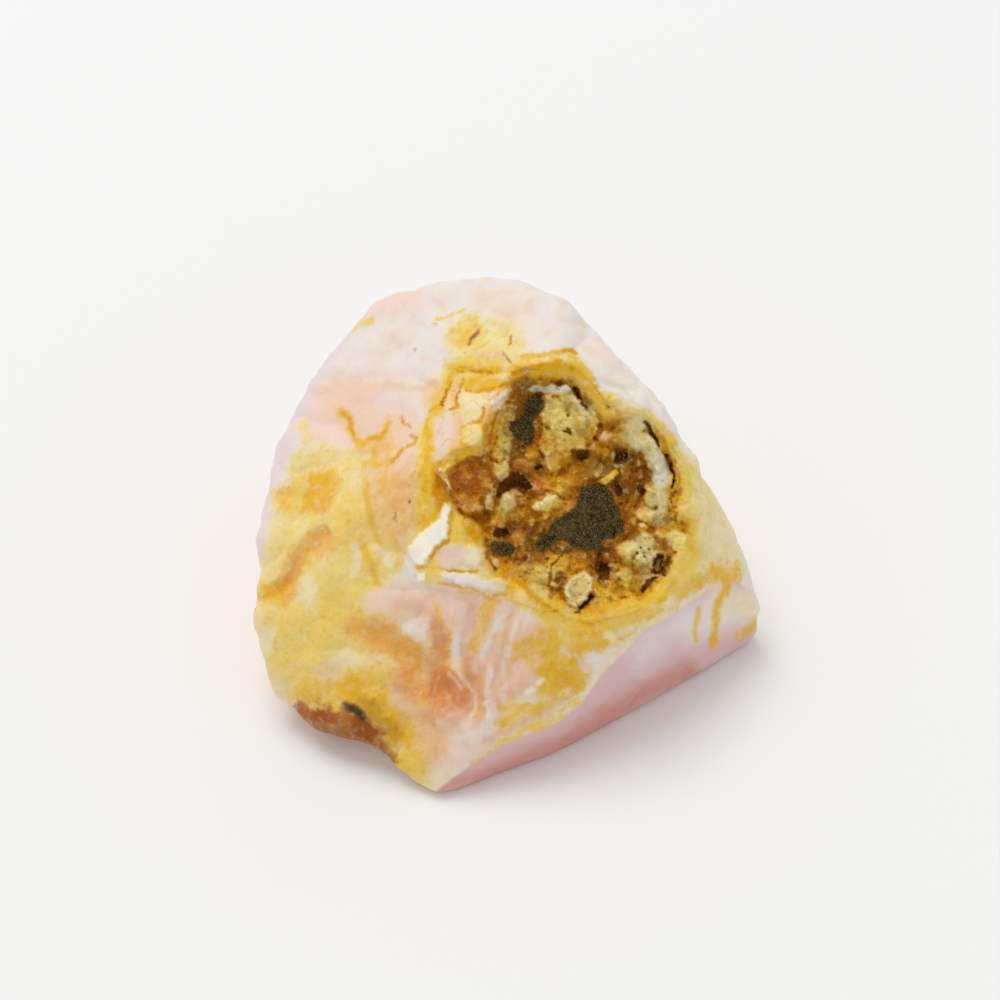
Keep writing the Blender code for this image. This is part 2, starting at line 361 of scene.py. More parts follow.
# %% The relief of the skin
# Furrows and low ridges: name, points, half width in pixels and height in millimetres.
FURROWS = (
    ("curl", ((342, 413), (349, 420), (350, 432), (358, 443), (368, 436), (378, 438)), 3.0, -0.07),
    ("curl end", ((385, 448), (388, 434), (388, 420)), 3.0, -0.06),
    ("small curl", ((415, 434), (418, 442), (404, 448), (394, 460)), 2.5, -0.06),
    ("facet edge", ((380, 384), (400, 387), (420, 391), (436, 383)), 4.0, -0.10),
    ("salmon edge", ((366, 470), (367, 495), (374, 525), (384, 556)), 5.0, -0.10),
    ("hook", ((470, 345), (473, 337), (479, 330)), 2.5, -0.12),
    ("slanting groove", ((324, 536), (300, 556), (286, 580), (262, 600)), 14.0, -0.45),
    ("lobe crest", ((352, 520), (330, 560), (318, 600), (330, 650)), 26.0, 0.35),
    ("front hollow", ((380, 636), (410, 656), (436, 684), (462, 706)), 24.0, -0.55),
    ("front crest", ((392, 590), (430, 606), (452, 630), (470, 668)), 16.0, 0.22),
    ("tall furrow", ((474, 610), (462, 640), (470, 680), (482, 712)), 8.0, -0.16),
    ("second furrow", ((512, 612), (506, 650), (496, 690), (500, 722)), 8.0, -0.14),
    ("ochre ridge", ((372, 690), (386, 716), (402, 750)), 12.0, 0.35),
    ("keel groove", ((545, 712), (585, 680), (616, 650)), 9.0, -0.15),
    ("band crest", ((590, 632), (630, 618), (668, 604)), 12.0, 0.20),
    ("right ridge",
     ((604, 396), (640, 404), (668, 430), (690, 468), (702, 506), (704, 540)), 13.0, 0.30),
    ("upper plane", ((470, 300), (440, 320), (420, 372)), 18.0, 0.12),
)
CAMERA_SIDE = (-0.42, 0.02)  # marks fade out where the skin turns away from the camera
FOOT_FADE = 1.5 * MM
# Noise is given as its strength, its size in millimetres and its seed.
FADE_NOISE = ((0.14, 3.0, 19), (0.06, 0.9, 20))
RELIEF_NOISE = ((0.09, 1.3, 2), (0.035, 0.55, 3), (0.015, 0.25, 4))
RELIEF_CREASE = (0.20, 3.1, 1)
FURROW_WANDER = 4.0  # how far a furrow strays from its line, in pixels
WANDER_SIZES = (1.9, 0.7, 0.3, 0.14)
WANDER_SHARES = (0.55, 0.45, 0.3)  # of the three finer sizes
WANDER_SEEDS = (31, 47)  # across and down


def facing(places, normals):
    """1 where the skin looks at the camera and 0 where it has turned away, with an uneven edge."""
    return smooth(normals @ -AHEAD + swells(places, FADE_NOISE), *CAMERA_SIDE)


def wander(pixels, places, reach, broad=1.0):
    """Moves the pixels a little, each its own way, so that no mark keeps a straight edge."""
    moved = pixels.copy()
    for axis, first_seed in enumerate(WANDER_SEEDS):
        for step, (size, share) in enumerate(zip(WANDER_SIZES, (broad, *WANDER_SHARES))):
            moved[:, axis] += reach * share * swell(places, size, first_seed + step)
    return moved


def stone_relief(places, seen):
    """Height of the broken surface in metres; seen is how far the camera's marks count."""
    strength, size, seed = RELIEF_CREASE
    height = strength * crease(places, size, seed) + swells(places, RELIEF_NOISE)
    pixels = wander(in_picture(places), places, FURROW_WANDER)
    for _, points, width, rise in FURROWS:
        height += rise * seen * along_line(pixels, points, width)
    return height * MM


places = read_places(stone.data)
normals = read_normals(stone.data)
above_foot = smooth(places[:, 2], 0.0, FOOT_FADE)
rise = stone_relief(places, facing(places, normals)) * above_foot
places += normals * rise[:, None]
places[:, 2] = np.maximum(places[:, 2], 0.0)
set_places(stone.data, places)
print("relief, mm:", round(rise.min() / MM, 2), "to", round(rise.max() / MM, 2))

# %% [markdown]
# ## Broad zones of colour
#
# The real stone shades from milk through pink to honey in broad soft zones. One noise could mix
# these colours, but not put the salmon hollow or the orange blot in their places. So each zone is
# an oval spot, and each entry of the list covers a little of what came before it.

# %% Broad zones of colour
# Zones: name, colour, middle, reach, turn and strength.
ZONES = (
    ("crown", "milk", (470, 300), (150, 42), 0, 0.8),
    ("crown pink", "blush", (392, 304), (52, 26), -15, 0.75),
    ("crown pink right", "blush", (512, 314), (26, 22), 0, 0.55),
    ("crown milk", "milk", (545, 320), (36, 34), 20, 0.8),
    ("white facet", "milk", (396, 350), (74, 50), -8, 0.95),
    ("facet blush", "blush", (392, 340), (20, 12), 0, 0.5),
    ("left shoulder", "milk", (322, 372), (44, 40), -40, 0.7),
    ("pink under the facet", "blush", (350, 412), (92, 56), -12, 0.95),
    ("pink warmth", "salmon", (352, 402), (48, 32), 10, 0.25),
    ("pale patch", "lilac_white", (388, 402), (26, 16), 0, 0.55),
    ("salmon hollow", "salmon", (398, 486), (58, 92), 6, 0.97),
    ("salmon heart", "apricot", (392, 512), (36, 50), 0, 0.35),
    ("blush strip", "blush", (408, 444), (26, 40), 10, 0.6),
    ("upper butter", "butter", (487, 347), (56, 42), 0, 0.95),
    ("upper honey", "honey", (470, 336), (28, 20), -10, 0.85),
    ("upper blush", "salmon", (492, 358), (26, 13), 0, 0.65),
    ("lobe butter", "butter", (322, 575), (92, 150), 0, 0.97),
    ("lobe honey", "honey", (318, 640), (100, 90), 0, 0.7),
    ("pale butter", "butter", (330, 466), (48, 28), 0, 0.85),
    ("orange blot", "apricot", (311, 496), (38, 34), -14, 0.9),
    ("orange blot heart", "mustard", (306, 494), (32, 28), -20, 0.9),
    ("orange blot right", "mustard", (329, 480), (12, 16), 0, 0.6),
    ("under the blot", "butter", (318, 524), (26, 14), 0, 0.6),
    ("honey beside it", "honey", (350, 520), (26, 44), 0, 0.7),
    ("cream patch", "cream", (306, 594), (22, 24), -30, 0.85),
    ("yellow blotch", "mustard", (276, 592), (24, 20), 20, 0.9),
    ("left milk", "cream", (264, 640), (14, 20), 0, 0.85),
    # Lobe light lays cream that is partly the lobe's own tone and partly a painted highlight; lobe
    # shade, near its foot, is partly its own mustard and partly painted shade.
    ("lobe light", "cream", (348, 656), (24, 15), 10, 0.75),
    ("lobe pale pink", "blush", (328, 672), (16, 26), 15, 0.55),
    ("lobe shade", "mustard", (336, 696), (54, 22), 6, 0.75),
    ("lobe apricot", "apricot", (388, 642), (40, 24), 30, 0.75),
    ("mottled edge", "honey", (372, 560), (34, 44), 0, 0.5),
    ("pink spot", "blush", (392, 602), (36, 24), -20, 0.85),
    ("pink spot warmth", "salmon", (410, 612), (32, 20), 0, 0.45),
    ("petal field", "petal", (452, 606), (70, 34), 4, 0.92),
    ("front petal", "petal", (512, 664), (52, 92), -12, 0.95),
    ("front blush", "blush", (528, 640), (26, 50), -10, 0.5),
    ("low salmon", "salmon", (418, 736), (46, 52), -20, 0.9),
    ("low cream", "blush", (470, 752), (46, 20), -24, 0.75),
    ("low coral", "coral", (450, 716), (44, 20), 0, 0.45),
    ("low mustard", "mustard", (378, 682), (26, 22), 0, 0.55),
    ("coral field", "apricot", (430, 674), (54, 42), 30, 0.85),
    ("coral left", "coral", (408, 684), (24, 26), 0, 0.45),
    ("coral heart", "coral", (444, 686), (46, 26), 33, 0.97),
    ("coral tongue", "coral", (436, 646), (15, 38), 4, 0.75),
    ("band mustard", "mustard", (596, 628), (104, 30), -14, 0.95),
    ("low butter", "butter", (528, 712), (46, 26), -26, 0.8),
    ("amber pool", "mustard", (562, 672), (34, 36), 10, 0.95),
    ("amber pool heart", "amber", (566, 677), (20, 14), -10, 0.2),
    ("amber pool light", "honey", (548, 652), (14, 16), 10, 0.5),
    ("outer butter", "butter", (704, 524), (48, 90), -20, 0.97),
    ("outer light", "honey", (700, 500), (20, 50), -20, 0.45),
    # Outer glow and outer pale lighten the right rim with cream: partly its own tone, partly a painted
    # glow where light comes through the thin edge.
    ("outer glow", "cream", (712, 520), (34, 66), -20, 0.6),
    ("outer pale", "cream", (732, 540), (22, 42), -24, 0.6),
    ("tip cream", "milk", (754, 588), (26, 42), -10, 0.85),
)
print(len(ZONES), "zones")

# %% [markdown]
# ## Stains that run
#
# Iron-stained water ran along edges and seams and left bands that are longer than they are wide.
# A chain of spots would look like beads, so a stain that runs is a line with a soft width.

# %% Stains that run
# Runs: name, colour, points, half width and strength.
RUNS = (
    ("left rim", "lilac_white", ((352, 318), (312, 364), (284, 420), (262, 490), (254, 548)), 19, 0.95),
    ("left rim honey", "butter", ((304, 420), (298, 470), (292, 530)), 11, 0.6),
    ("orange streak", "apricot", ((326, 540), (313, 548), (297, 559), (287, 577), (286, 596)), 20, 0.7),
    ("orange streak heart", "coral", ((298, 558), (290, 578)), 12, 0.3),
    ("upper apricot", "apricot", ((360, 626), (384, 634), (404, 652), (420, 668)), 20, 0.75),
    ("ochre corner", "mustard", ((352, 690), (376, 700), (392, 726), (408, 758)), 24, 0.95),
    ("ochre shade", "ochre", ((366, 702), (388, 726), (398, 752)), 13, 0.95),
    ("low left edge", "honey", ((404, 756), (424, 784)), 13, 0.9),
    # Painted shade, in part: the three recess runs darken the underside of the lower-left lip, partly
    # its own brick and rust and partly shade under the overhang.
    ("recess tan", "brick", ((304, 708), (338, 718), (374, 736)), 13, 0.95),
    ("recess shade", "rust", ((300, 722), (330, 732), (364, 742), (388, 756)), 12, 0.8),
    ("recess foot shade", "rust", ((310, 732), (346, 744), (380, 756)), 7, 0.5),
    ("white slope", "milk", ((566, 310), (622, 368), (662, 410)), 34, 0.95),
    ("white slope light", "chalk", ((600, 360), (644, 402)), 24, 0.35),
    ("white slope pink", "blush", ((600, 352), (634, 386)), 9, 0.5),
    ("skyline yellow", "butter", ((622, 408), (648, 418), (670, 440), (692, 470)), 10, 0.85),
    ("band amber", "amber", ((566, 618), (600, 612), (640, 600)), 14, 0.45),
    ("band top", "mustard", ((640, 606), (690, 586), (736, 572)), 13, 0.9),
    ("low yellow band", "mustard", ((502, 720), (530, 712), (560, 700), (576, 690)), 9, 0.8),
    ("keel honey", "honey", ((478, 762), (500, 746), (534, 731), (564, 717), (583, 700)), 5, 0.9),
    ("keel cream", "petal", ((486, 742), (516, 728), (544, 716), (570, 702)), 7, 0.7),
    ("keel right", "cream", ((583, 698), (604, 668), (618, 655), (644, 630), (690, 602)), 7, 0.8),
    ("cream arc", "blush", ((564, 647), (576, 655), (584, 666), (587, 678)), 5, 0.8),
)
print(len(RUNS), "stains that run")

# %% [markdown]
# ## The halo and the steep face
#
# Round the hollow the stone is stained through, a ring of honey and mustard. Below it the lump
# broke along a clean face, steeper than the rest, where mauve and rose show with a few yellow
# streaks. Both have a clear edge in the real stone, so they are patches with outlines. The steep
# face is laid over all that came before, and its stains stay inside it.

# %% The halo and the steep face
HALO = (
    (444, 364), (474, 360), (506, 364), (530, 358), (556, 351), (572, 353), (583, 366), (594, 392),
    (622, 405), (644, 415), (664, 436), (682, 462), (693, 494), (697, 528), (698, 558), (686, 582),
    (668, 604), (630, 622), (596, 640), (556, 640), (536, 612), (506, 598), (476, 582), (450, 566),
    (430, 572), (416, 556), (418, 524), (420, 490), (418, 462), (422, 428), (436, 408), (442, 386),
)
STEEP_FACE = (
    (430, 796), (470, 766), (500, 746), (534, 733), (564, 719), (582, 703), (607, 668), (620, 657),
    (646, 631), (689, 604), (712, 590), (735, 578), (760, 600), (775, 620), (724, 662), (620, 722),
    (498, 786),
)
# Rings of the halo: colour, where it starts and is full in pixels from the outline, and strength.
HALO_RINGS = (("honey", -7.0, 3.0, 0.85), ("mustard", -1.0, 9.0, 0.75))
STEEP_EDGE = (-2.0, 2.0)
# Stains of the steep face: name, colour, points, half width and strength.
STEEP_STAINS = (
    ("steep white", "lilac_white", ((640, 656), (662, 636), (690, 614), (720, 600)), 30, 0.95),
    ("steep milk", "milk", ((694, 628), (726, 614), (774, 602)), 30, 0.95),
    ("steep pale", "mauve", ((560, 730), (600, 690), (630, 660)), 12, 0.6),
    # Steep rose and steep rose right darken the face towards the floor: partly the stone's own rose,
    # partly painted shade at its foot.
    ("steep rose", "rose", ((430, 800), (500, 774), (570, 742), (606, 722)), 22, 0.9),
    ("steep rose right", "rose", ((606, 716), (650, 690), (690, 670)), 18, 0.85),
    ("steep low blush", "petal", ((430, 800), (470, 788)), 12, 0.5),
    ("steep cream", "cream", ((728, 600), (768, 608)), 26, 0.9),
    ("streak one", "mustard", ((732, 577), (724, 592), (718, 606), (713, 638), (712, 646)), 6, 0.9),
    ("streak two", "mustard", ((700, 608), (694, 632), (697, 640)), 5, 0.6),
    ("streak three", "mustard", ((764, 614), (750, 628), (738, 636)), 8, 0.75),
    ("steep top yellow", "mustard", ((688, 600), (706, 590), (740, 574)), 5, 0.85),
)
print(len(HALO_RINGS), "rings and", len(STEEP_STAINS), "steep stains")

# %% [markdown]
# ## Threads, cracks and flecks
#
# The finest marks are stained cracks, curls of amber and flecks of milk. As a picture on the stone
# they would need a texture from outside. As short thin lines they stay sharp at any size, and the
# noise that moves their edges makes each of them ragged.

# %% Threads, cracks and flecks
# Threads: name, colour, points, half width and strength.
THREADS = (
    ("left yellow spots", "honey", ((354, 328), (358, 324), (366, 324), (372, 320)), 5.0, 0.8),
    ("thin yellow line", "honey", ((437, 317), (445, 317), (454, 313), (463, 312)), 2.6, 0.9),
    ("thin yellow dot", "mustard", ((434, 322), (436, 323)), 2.2, 0.7),
    ("hook halo", "mustard", ((462, 342), (470, 336), (476, 328)), 10.0, 0.45),
    ("hook", "burnt_amber", ((469, 345), (471, 339), (476, 336), (479, 331)), 2.8, 0.95),
    ("short crack", "burnt_amber", ((503, 352), (507, 357), (511, 362)), 1.8, 0.75),
    ("upper crack", "burnt_amber", ((511, 336), (510, 344)), 1.6, 0.8),
    ("facet edge", "salmon", ((362, 384), (390, 387), (408, 391), (440, 383)), 7.0, 0.25),
    ("upper amber line", "mustard",
     ((524, 358), (536, 355), (552, 353), (566, 349), (575, 352)), 4.0, 0.9),
    ("upper amber dark", "amber", ((564, 350), (572, 349), (576, 353)), 3.0, 0.9),
    ("pale over the band", "cream", ((532, 361), (552, 357), (566, 356)), 3.5, 0.8),
    ("curl glow", "salmon", ((340, 412), (350, 428), (364, 444), (386, 436), (390, 424)), 12.0, 0.5),
    ("curl", "mustard",
     ((340, 412), (346, 414), (349, 421), (350, 430), (357, 440), (365, 444)), 5.5, 0.75),
    ("curl dark", "amber", ((341, 413), (347, 417), (350, 428), (354, 437)), 2.6, 0.6),
    ("curl arch", "mustard", ((365, 444), (372, 436), (381, 438), (386, 432), (388, 424)), 4.6, 0.9),
    ("curl arch dark", "amber", ((372, 437), (381, 438), (386, 431)), 2.6, 0.5),
    ("curl tail", "mustard", ((372, 446), (375, 456), (369, 464), (380, 466), (392, 461)), 4.6, 0.65),
    ("curl fuzz", "apricot", ((364, 448), (380, 448), (390, 450)), 10.0, 0.4),
    ("dots", "amber", ((402, 418), (404, 423), (410, 426)), 2.4, 0.85),
    ("small curl", "amber",
     ((411, 434), (417, 438), (415, 443), (404, 447), (398, 455), (391, 462)), 2.6, 0.85),
    ("salmon edge", "mustard", ((363, 464), (366, 490), (370, 516), (378, 544)), 5.0, 0.55),
    ("salmon threads", "mustard", ((386, 466), (384, 484), (378, 498)), 4.0, 0.4),
    ("dark speck", "umber", ((411, 501), (411.5, 502)), 2.0, 0.8),
    ("olive hook", "olive", ((395, 514), (394, 519), (396, 521)), 2.2, 0.7),
    ("grey speck", "ash", ((414, 350), (414.5, 351)), 2.2, 0.6),
    ("left mottle one", "cream", ((354, 546), (358, 560), (352, 574)), 6.0, 0.75),
    ("left mottle two", "mustard", ((364, 548), (372, 566), (377, 582)), 6.0, 0.6),
    ("left mottle three", "cream", ((376, 546), (384, 552), (390, 564)), 5.0, 0.75),
    ("left mottle four", "mustard", ((394, 540), (402, 556), (398, 570)), 6.0, 0.45),
    ("coral behind the tongues", "coral", ((466, 650), (474, 676), (480, 710)), 13.0, 0.6),
    ("wedge between tongues", "mustard", ((490, 602), (482, 624), (474, 647)), 10.0, 0.6),
    ("wedge heart", "apricot", ((486, 614), (478, 636)), 4.0, 0.6),
    ("tongue one", "blush", ((444, 596), (460, 610), (462, 630), (457, 650)), 13.0, 0.6),
    ("tongue one tip", "milk", ((456, 640), (455, 654), (456, 666)), 6.0, 0.7),
    ("tongue edge", "mustard", ((436, 604), (441, 617), (449, 632), (447, 650)), 3.0, 0.6),
    ("tongue two", "blush", ((503, 604), (494, 630), (482, 656), (475, 668)), 8.0, 0.6),
    ("tongue two stripe", "milk", ((501, 614), (494, 628), (489, 640), (482, 656)), 3.4, 0.75),
    ("tongue three", "milk", ((491, 672), (487, 692), (485, 704), (489, 716)), 4.4, 0.8),
    ("pale line one", "blush", ((456, 668), (467, 684), (476, 694), (476, 707), (467, 726)), 3.2, 0.8),
    ("pale line two", "blush", ((450, 672), (462, 690)), 2.4, 0.6),
    ("pale line three", "milk", ((507, 640), (503, 668), (507, 690)), 3.0, 0.5),
    ("low pale patch", "blush", ((440, 722), (456, 732), (468, 722)), 7.0, 0.6),
    ("upper orange thread", "apricot", ((462, 592), (480, 593), (500, 602)), 3.2, 0.6),
    ("field mottle", "mustard", ((518, 645), (528, 656), (534, 668)), 7.0, 0.45),
    ("field mottle two", "apricot", ((522, 648), (514, 660)), 4.0, 0.45),
    ("scratch", "milk", ((517, 618), (512, 640), (508, 656)), 2.5, 0.6),
    ("scratch two", "milk", ((532, 606), (524, 628)), 2.5, 0.5),
    ("third orange", "mustard", ((500, 706), (520, 708), (546, 704)), 6.0, 0.7),
    ("amber rim of the pool", "mustard", ((548, 640), (540, 664), (542, 690)), 5.0, 0.7),
    ("white fleck", "chalk", ((538, 683), (541, 681)), 5.0, 0.8),
    ("white fleck two", "chalk", ((529, 691), (532, 689)), 6.0, 0.75),
    ("white fleck three", "milk", ((521, 699), (530, 696), (535, 699)), 7.0, 0.6),
    ("white fleck four", "cream", ((504, 698), (508, 702)), 7.0, 0.55),
    ("white fleck five", "cream", ((561, 694), (570, 690)), 7.0, 0.6),
    ("white fleck right", "chalk", ((608, 634), (613, 638)), 6.5, 0.7),
    ("white fleck far right", "cream", ((620, 633), (630, 629)), 6.5, 0.75),
    ("white fleck long", "cream", ((630, 628), (645, 621)), 5.0, 0.7),
    ("keel fleck", "cream", ((664, 606), (674, 600)), 5.0, 0.75),
    ("recess halo", "rust", ((350, 709), (358, 714), (366, 722)), 9.0, 0.6),
    ("recess dark", "umber", ((345, 706), (353, 710), (361, 716)), 7.0, 0.85),
    ("recess black", "soot", ((350, 709), (358, 714)), 4.0, 0.8),
    ("tip white", "cream", ((430, 784), (446, 772)), 11.0, 0.8),
)
print(len(THREADS), "threads")

# %% [markdown]
# ## Colours that follow noise
#
# No camera mark reaches the back and the sides. There the same colours follow noise: pink most of
# all, yellow in veins, milk where the stone is thin. Fine swirls of milk and honey run all over the
# stone, as the opal settled in them, and the pink front is finely scratched.

# %% Colours that follow noise
# Noise of the far side: strength, size in millimetres and seed.
FAR_BROAD = ((1.0, 9.0, 11), (0.5, 4.0, 12))
FAR_STAIN = ((1.0, 7.0, 14), (0.4, 2.2, 15))
FAR_VEIN = ((1.0, 5.0, 16), (0.25, 1.2, 17))
FAR_MAUVE = (6.0, 13)
FAR_CORAL = (4.6, 18)
VEIN_SHARPNESS = 9.0
IRON_RANGE = (0.06, 0.30)  # of green less blue
# How swirls are bent: axis, shift in millimetres, size and seed.
SWIRL_BENDS = ((0, 0.6, 2.4, 21), (1, 0.5, 1.9, 28))
SWIRL_FLATNESS = 0.6
# Swirls: colour, size, seed, start, strength everywhere and strength where iron stains the stone.
SWIRLS = (
    ("cream", 1.5, 22, 0.0, 0.08, 0.25),
    ("mustard", 1.0, 23, 0.05, 0.0, 0.30),
    ("milk", 0.5, 25, 0.15, 0.22, 0.0),
    ("amber", 0.42, 26, 0.2, 0.0, 0.22),
    ("salmon", 1.1, 24, 0.12, 0.25, 0.0),
)
SWIRL_FULL = 0.6
# Scratches of the pink front: colour, size, seed, start, full and strength.
SCRATCHES = (
    ("milk", 0.34, 41, 0.12, 0.5, 0.20),
    ("apricot", 0.42, 42, 0.12, 0.5, 0.20),
    ("coral", 0.30, 43, 0.2, 0.6, 0.14),
)
FRONT_FIELD = (486, 664)
FRONT_REACH = (96, 96)
SCRATCH_BENDS = ((0, 0.6, 2.2, 44),)
SCRATCH_STRETCH = np.array((1.0, 0.6, 0.38))


def far_side_tint(places):
    """The colours where no camera mark reaches."""
    tint = np.tile(colour("petal"), (len(places), 1))
    broad = swells(places, FAR_BROAD)
    lay_where(tint, "blush", broad, -0.1, 0.5, 0.8)
    lay_where(tint, "lilac_white", -broad, 0.0, 0.6, 0.8)
    lay_where(tint, "mauve", swell(places, *FAR_MAUVE), 0.1, 0.5, 0.6)
    stain = swells(places, FAR_STAIN)
    lay_where(tint, "honey", stain, 0.12, 0.5, 0.85)
    lay_where(tint, "mustard", stain, 0.42, 0.8, 0.7)
    vein = 1.0 - np.abs(swells(places, FAR_VEIN)) * VEIN_SHARPNESS
    lay_where(tint, "amber", vein, 0.2, 1.0, 0.7 * smooth(stain, -0.15, 0.3))
    lay_where(tint, "coral", swell(places, *FAR_CORAL), 0.28, 0.6, 0.5)
    return tint


def iron_in(tint):
    """How iron-stained a colour is: 0 for white and pink, 1 for honey and amber."""
    return smooth(tint[:, 1] - tint[:, 2], *IRON_RANGE)


def bent(places, bends):
    """The places shifted by noise, so that a pattern on them swirls."""
    moved = places.copy()
    for axis, shift, size, seed in bends:
        moved[:, axis] += shift * MM * swell(places, size, seed)
    return moved


def swirl(places, tint, strength):
    """Fine swirls of milk and honey, the way opal gel settled; strength is 0 to 1 for each point."""
    flow = bent(places, SWIRL_BENDS)
    flow[:, 2] *= SWIRL_FLATNESS
    iron = iron_in(tint) * strength
    for name, size, seed, start, anywhere, in_iron in SWIRLS:
        share = anywhere * strength + in_iron * iron
        lay_where(tint, name, swell(flow, size, seed), start, SWIRL_FULL, share)


def scratch(places, tint, strength):
    """Fine upright scratches; strength is 0 to 1 for each point."""
    grained = bent(places, SCRATCH_BENDS) * SCRATCH_STRETCH
    for name, size, seed, start, full, share in SCRATCHES:
        lay_where(tint, name, swell(grained, size, seed), start, full, share * strength)


# %% [markdown]
# ## Laying the stains
#
# All marks come together in one function, because the sheet over the hollow takes the stone's
# colours at its border and has to match them there. It lays them from the broadest to the finest.
# The colours could be an image wrapped on the stone, but stored on the mesh's points they need no
# unwrapping and have no seams.

# %% Laying the stains
ZONE_WANDER = 8.0  # how far each kind of mark strays, in pixels
THREAD_WANDER = 2.4
HALO_WANDER = 4.0
STEEP_WANDER = 1.2
RUN_CORE = 0.25
THREAD_CORE = 0.35
LEFT_COLUMN, LEFT_FADE = 430.0, 60.0  # left of this column the swirls weaken, over so many pixels
LEFT_WEAKER = 0.5
STEEP_WEAKER = 0.7


def stone_tint(places, seen):
    """The stone's colour at each place; seen is how far the camera's marks count."""
    tint = np.tile(colour("milk"), (len(places), 1))
    pixels = in_picture(places)
    broad = wander(pixels, places, ZONE_WANDER)
    fine_edge = wander(pixels, places, THREAD_WANDER)
    for _, name, middle, reach, turn, strength in ZONES:
        lay(tint, name, spot(broad, middle, reach, turn) * strength)
    for _, name, points, width, strength in RUNS:
        lay(tint, name, along_line(broad, points, width, RUN_CORE) * strength)
    halo = into_patch(wander(pixels, places, HALO_WANDER), HALO)
    for name, start, full, strength in HALO_RINGS:
        lay_where(tint, name, halo, start, full, strength)
    steep = smooth(into_patch(wander(pixels, places, STEEP_WANDER), STEEP_FACE), *STEEP_EDGE)
    lay(tint, "mauve", steep)
    for _, name, points, width, strength in STEEP_STAINS:
        lay(tint, name, along_line(fine_edge, points, width) * strength * steep)
    for _, name, points, width, strength in THREADS:
        lay(tint, name, along_line(fine_edge, points, width, THREAD_CORE) * strength * (1.0 - steep))
    scratch(places, tint, spot(pixels, FRONT_FIELD, FRONT_REACH, soft=0.5) * (1.0 - steep))
    far = far_side_tint(places)
    tint += (far - tint) * (1.0 - seen)[:, None]
    weaker_left = LEFT_WEAKER * smooth(LEFT_COLUMN - pixels[:, 0], 0.0, LEFT_FADE)
    swirl(places, tint, (1.0 - STEEP_WEAKER * steep * seen) * (1.0 - weaker_left * seen))
    return tint


# %% [markdown]
# ## The grid over the hollow
#
# The hollow is lined with minerals grown on each other. Sculpting them by hand would take days.
# Here a fine grid, one point for each pixel of the picture, is laid over the hollow along the
# lines of sight. Each named patch, knob, hole and crack then raises or sinks it. The grid reaches
# a little way over the sound stone, where it follows the skin and then dives under it, so that no
# edge shows.

# %% The grid over the hollow
GRID_BOX = (394, 346, 716, 632)  # left, top, right and bottom in pixels
SHEET_OUTLINE = (
    (414, 372), (434, 354), (470, 351), (520, 350), (556, 348), (582, 352), (596, 368), (606, 383),
    (622, 392), (638, 399), (653, 409), (668, 421), (682, 440), (691, 464), (704, 498), (712, 530),
    (710, 560), (698, 584), (668, 606), (632, 622), (590, 630), (550, 622), (516, 610), (480, 602),
    (436, 598), (406, 590), (398, 566), (396, 540), (406, 514), (408, 480), (406, 446), (410, 410),
)
HOLLOW_OUTLINE = (
    (504, 404), (508, 390), (514, 380), (530, 375), (552, 373), (571, 376), (583, 387), (594, 403),
    (604, 418), (616, 415), (632, 411), (646, 418), (659, 433), (673, 453), (681, 480), (680, 508),
    (690, 524), (686, 548), (672, 562), (664, 578), (652, 592), (640, 602), (620, 606), (600, 608),
    (586, 612), (570, 609), (554, 599), (538, 590), (522, 584), (508, 574), (494, 563), (484, 550),
    (478, 532), (468, 521), (457, 514), (449, 502), (444, 486), (446, 468), (456, 459), (470, 456),
    (486, 450), (492, 434), (496, 418),
)
OPENING_MARGIN = 9.0  # pixels round the hollow that are bridged with it
TURNED_AWAY = 0.30  # skin that faces the camera less squarely than this is not followed

skin_tree = BVHTree.FromPolygons(
    [Vector(place) for place in places], [tuple(face.vertices) for face in stone.data.polygons]
)


def sight_skin(pixels):
    """How far along each line of sight the skin lies and how squarely it faces; nan where missed."""
    start = Vector(EYE)
    found = []
    for line in sight_lines(pixels):
        _, normal, _, distance = skin_tree.ray_cast(start, Vector(line))
        missed = distance is None
        found.append((np.nan, np.nan) if missed else (distance, -normal.dot(Vector(line))))
    return np.array(found).T


grid = bmesh.new()
left, top, right, bottom = GRID_BOX
bmesh.ops.create_grid(grid, x_segments=right - left, y_segments=bottom - top, size=1.0)
flat = np.array([vert.co for vert in grid.verts])
pixels = np.column_stack((
    left + (flat[:, 0] + 1.0) / 2.0 * (right - left),
    top + (flat[:, 1] + 1.0) / 2.0 * (bottom - top),
))
column, row = np.rint(pixels - (left, top)).astype(int).T
depth, squareness = sight_skin(pixels)
inside_sheet = into_patch(pixels, SHEET_OUTLINE)
in_opening = into_patch(pixels, HOLLOW_OUTLINE) > -OPENING_MARGIN
keep = (inside_sheet > 0.0) & (in_opening | (squareness > 0.5 * TURNED_AWAY))
print("crust grid:", keep.sum(), "points")

# %% [markdown]
# ## A film over the hollow
#
# Every height of the crust needs a surface to start from. The hollow has lost its own, so the skin
# round it is carried across like a soap film: the missing depths are evened out again and again,
# first over long reaches and then over short ones. A flat lid would leave a step at the rim.

# %% A film over the hollow
FILM_STEPS = (32, 16, 8, 4, 2, 1)  # reach of each round of smoothing, in pixels
FILM_ROUNDS = 12


def blurred(values, reach):
    """The mean of the grid points around each point, reach pixels each way."""
    field = np.zeros((row.max() + 1, column.max() + 1))
    field[row, column] = values
    window = 2 * reach + 1
    for axis in (0, 1):
        margin = [(0, 0), (0, 0)]
        margin[axis] = (reach + 1, reach)
        total = np.cumsum(np.pad(field, margin, mode="edge"), axis=axis)
        count = field.shape[axis]
        ends = np.take(total, range(window, window + count), axis)
        field = (ends - np.take(total, range(count), axis)) / window
    return field[row, column]


def softened(values, reach):
    """Blurred twice, which leaves no square marks."""
    return blurred(blurred(values, reach), reach)


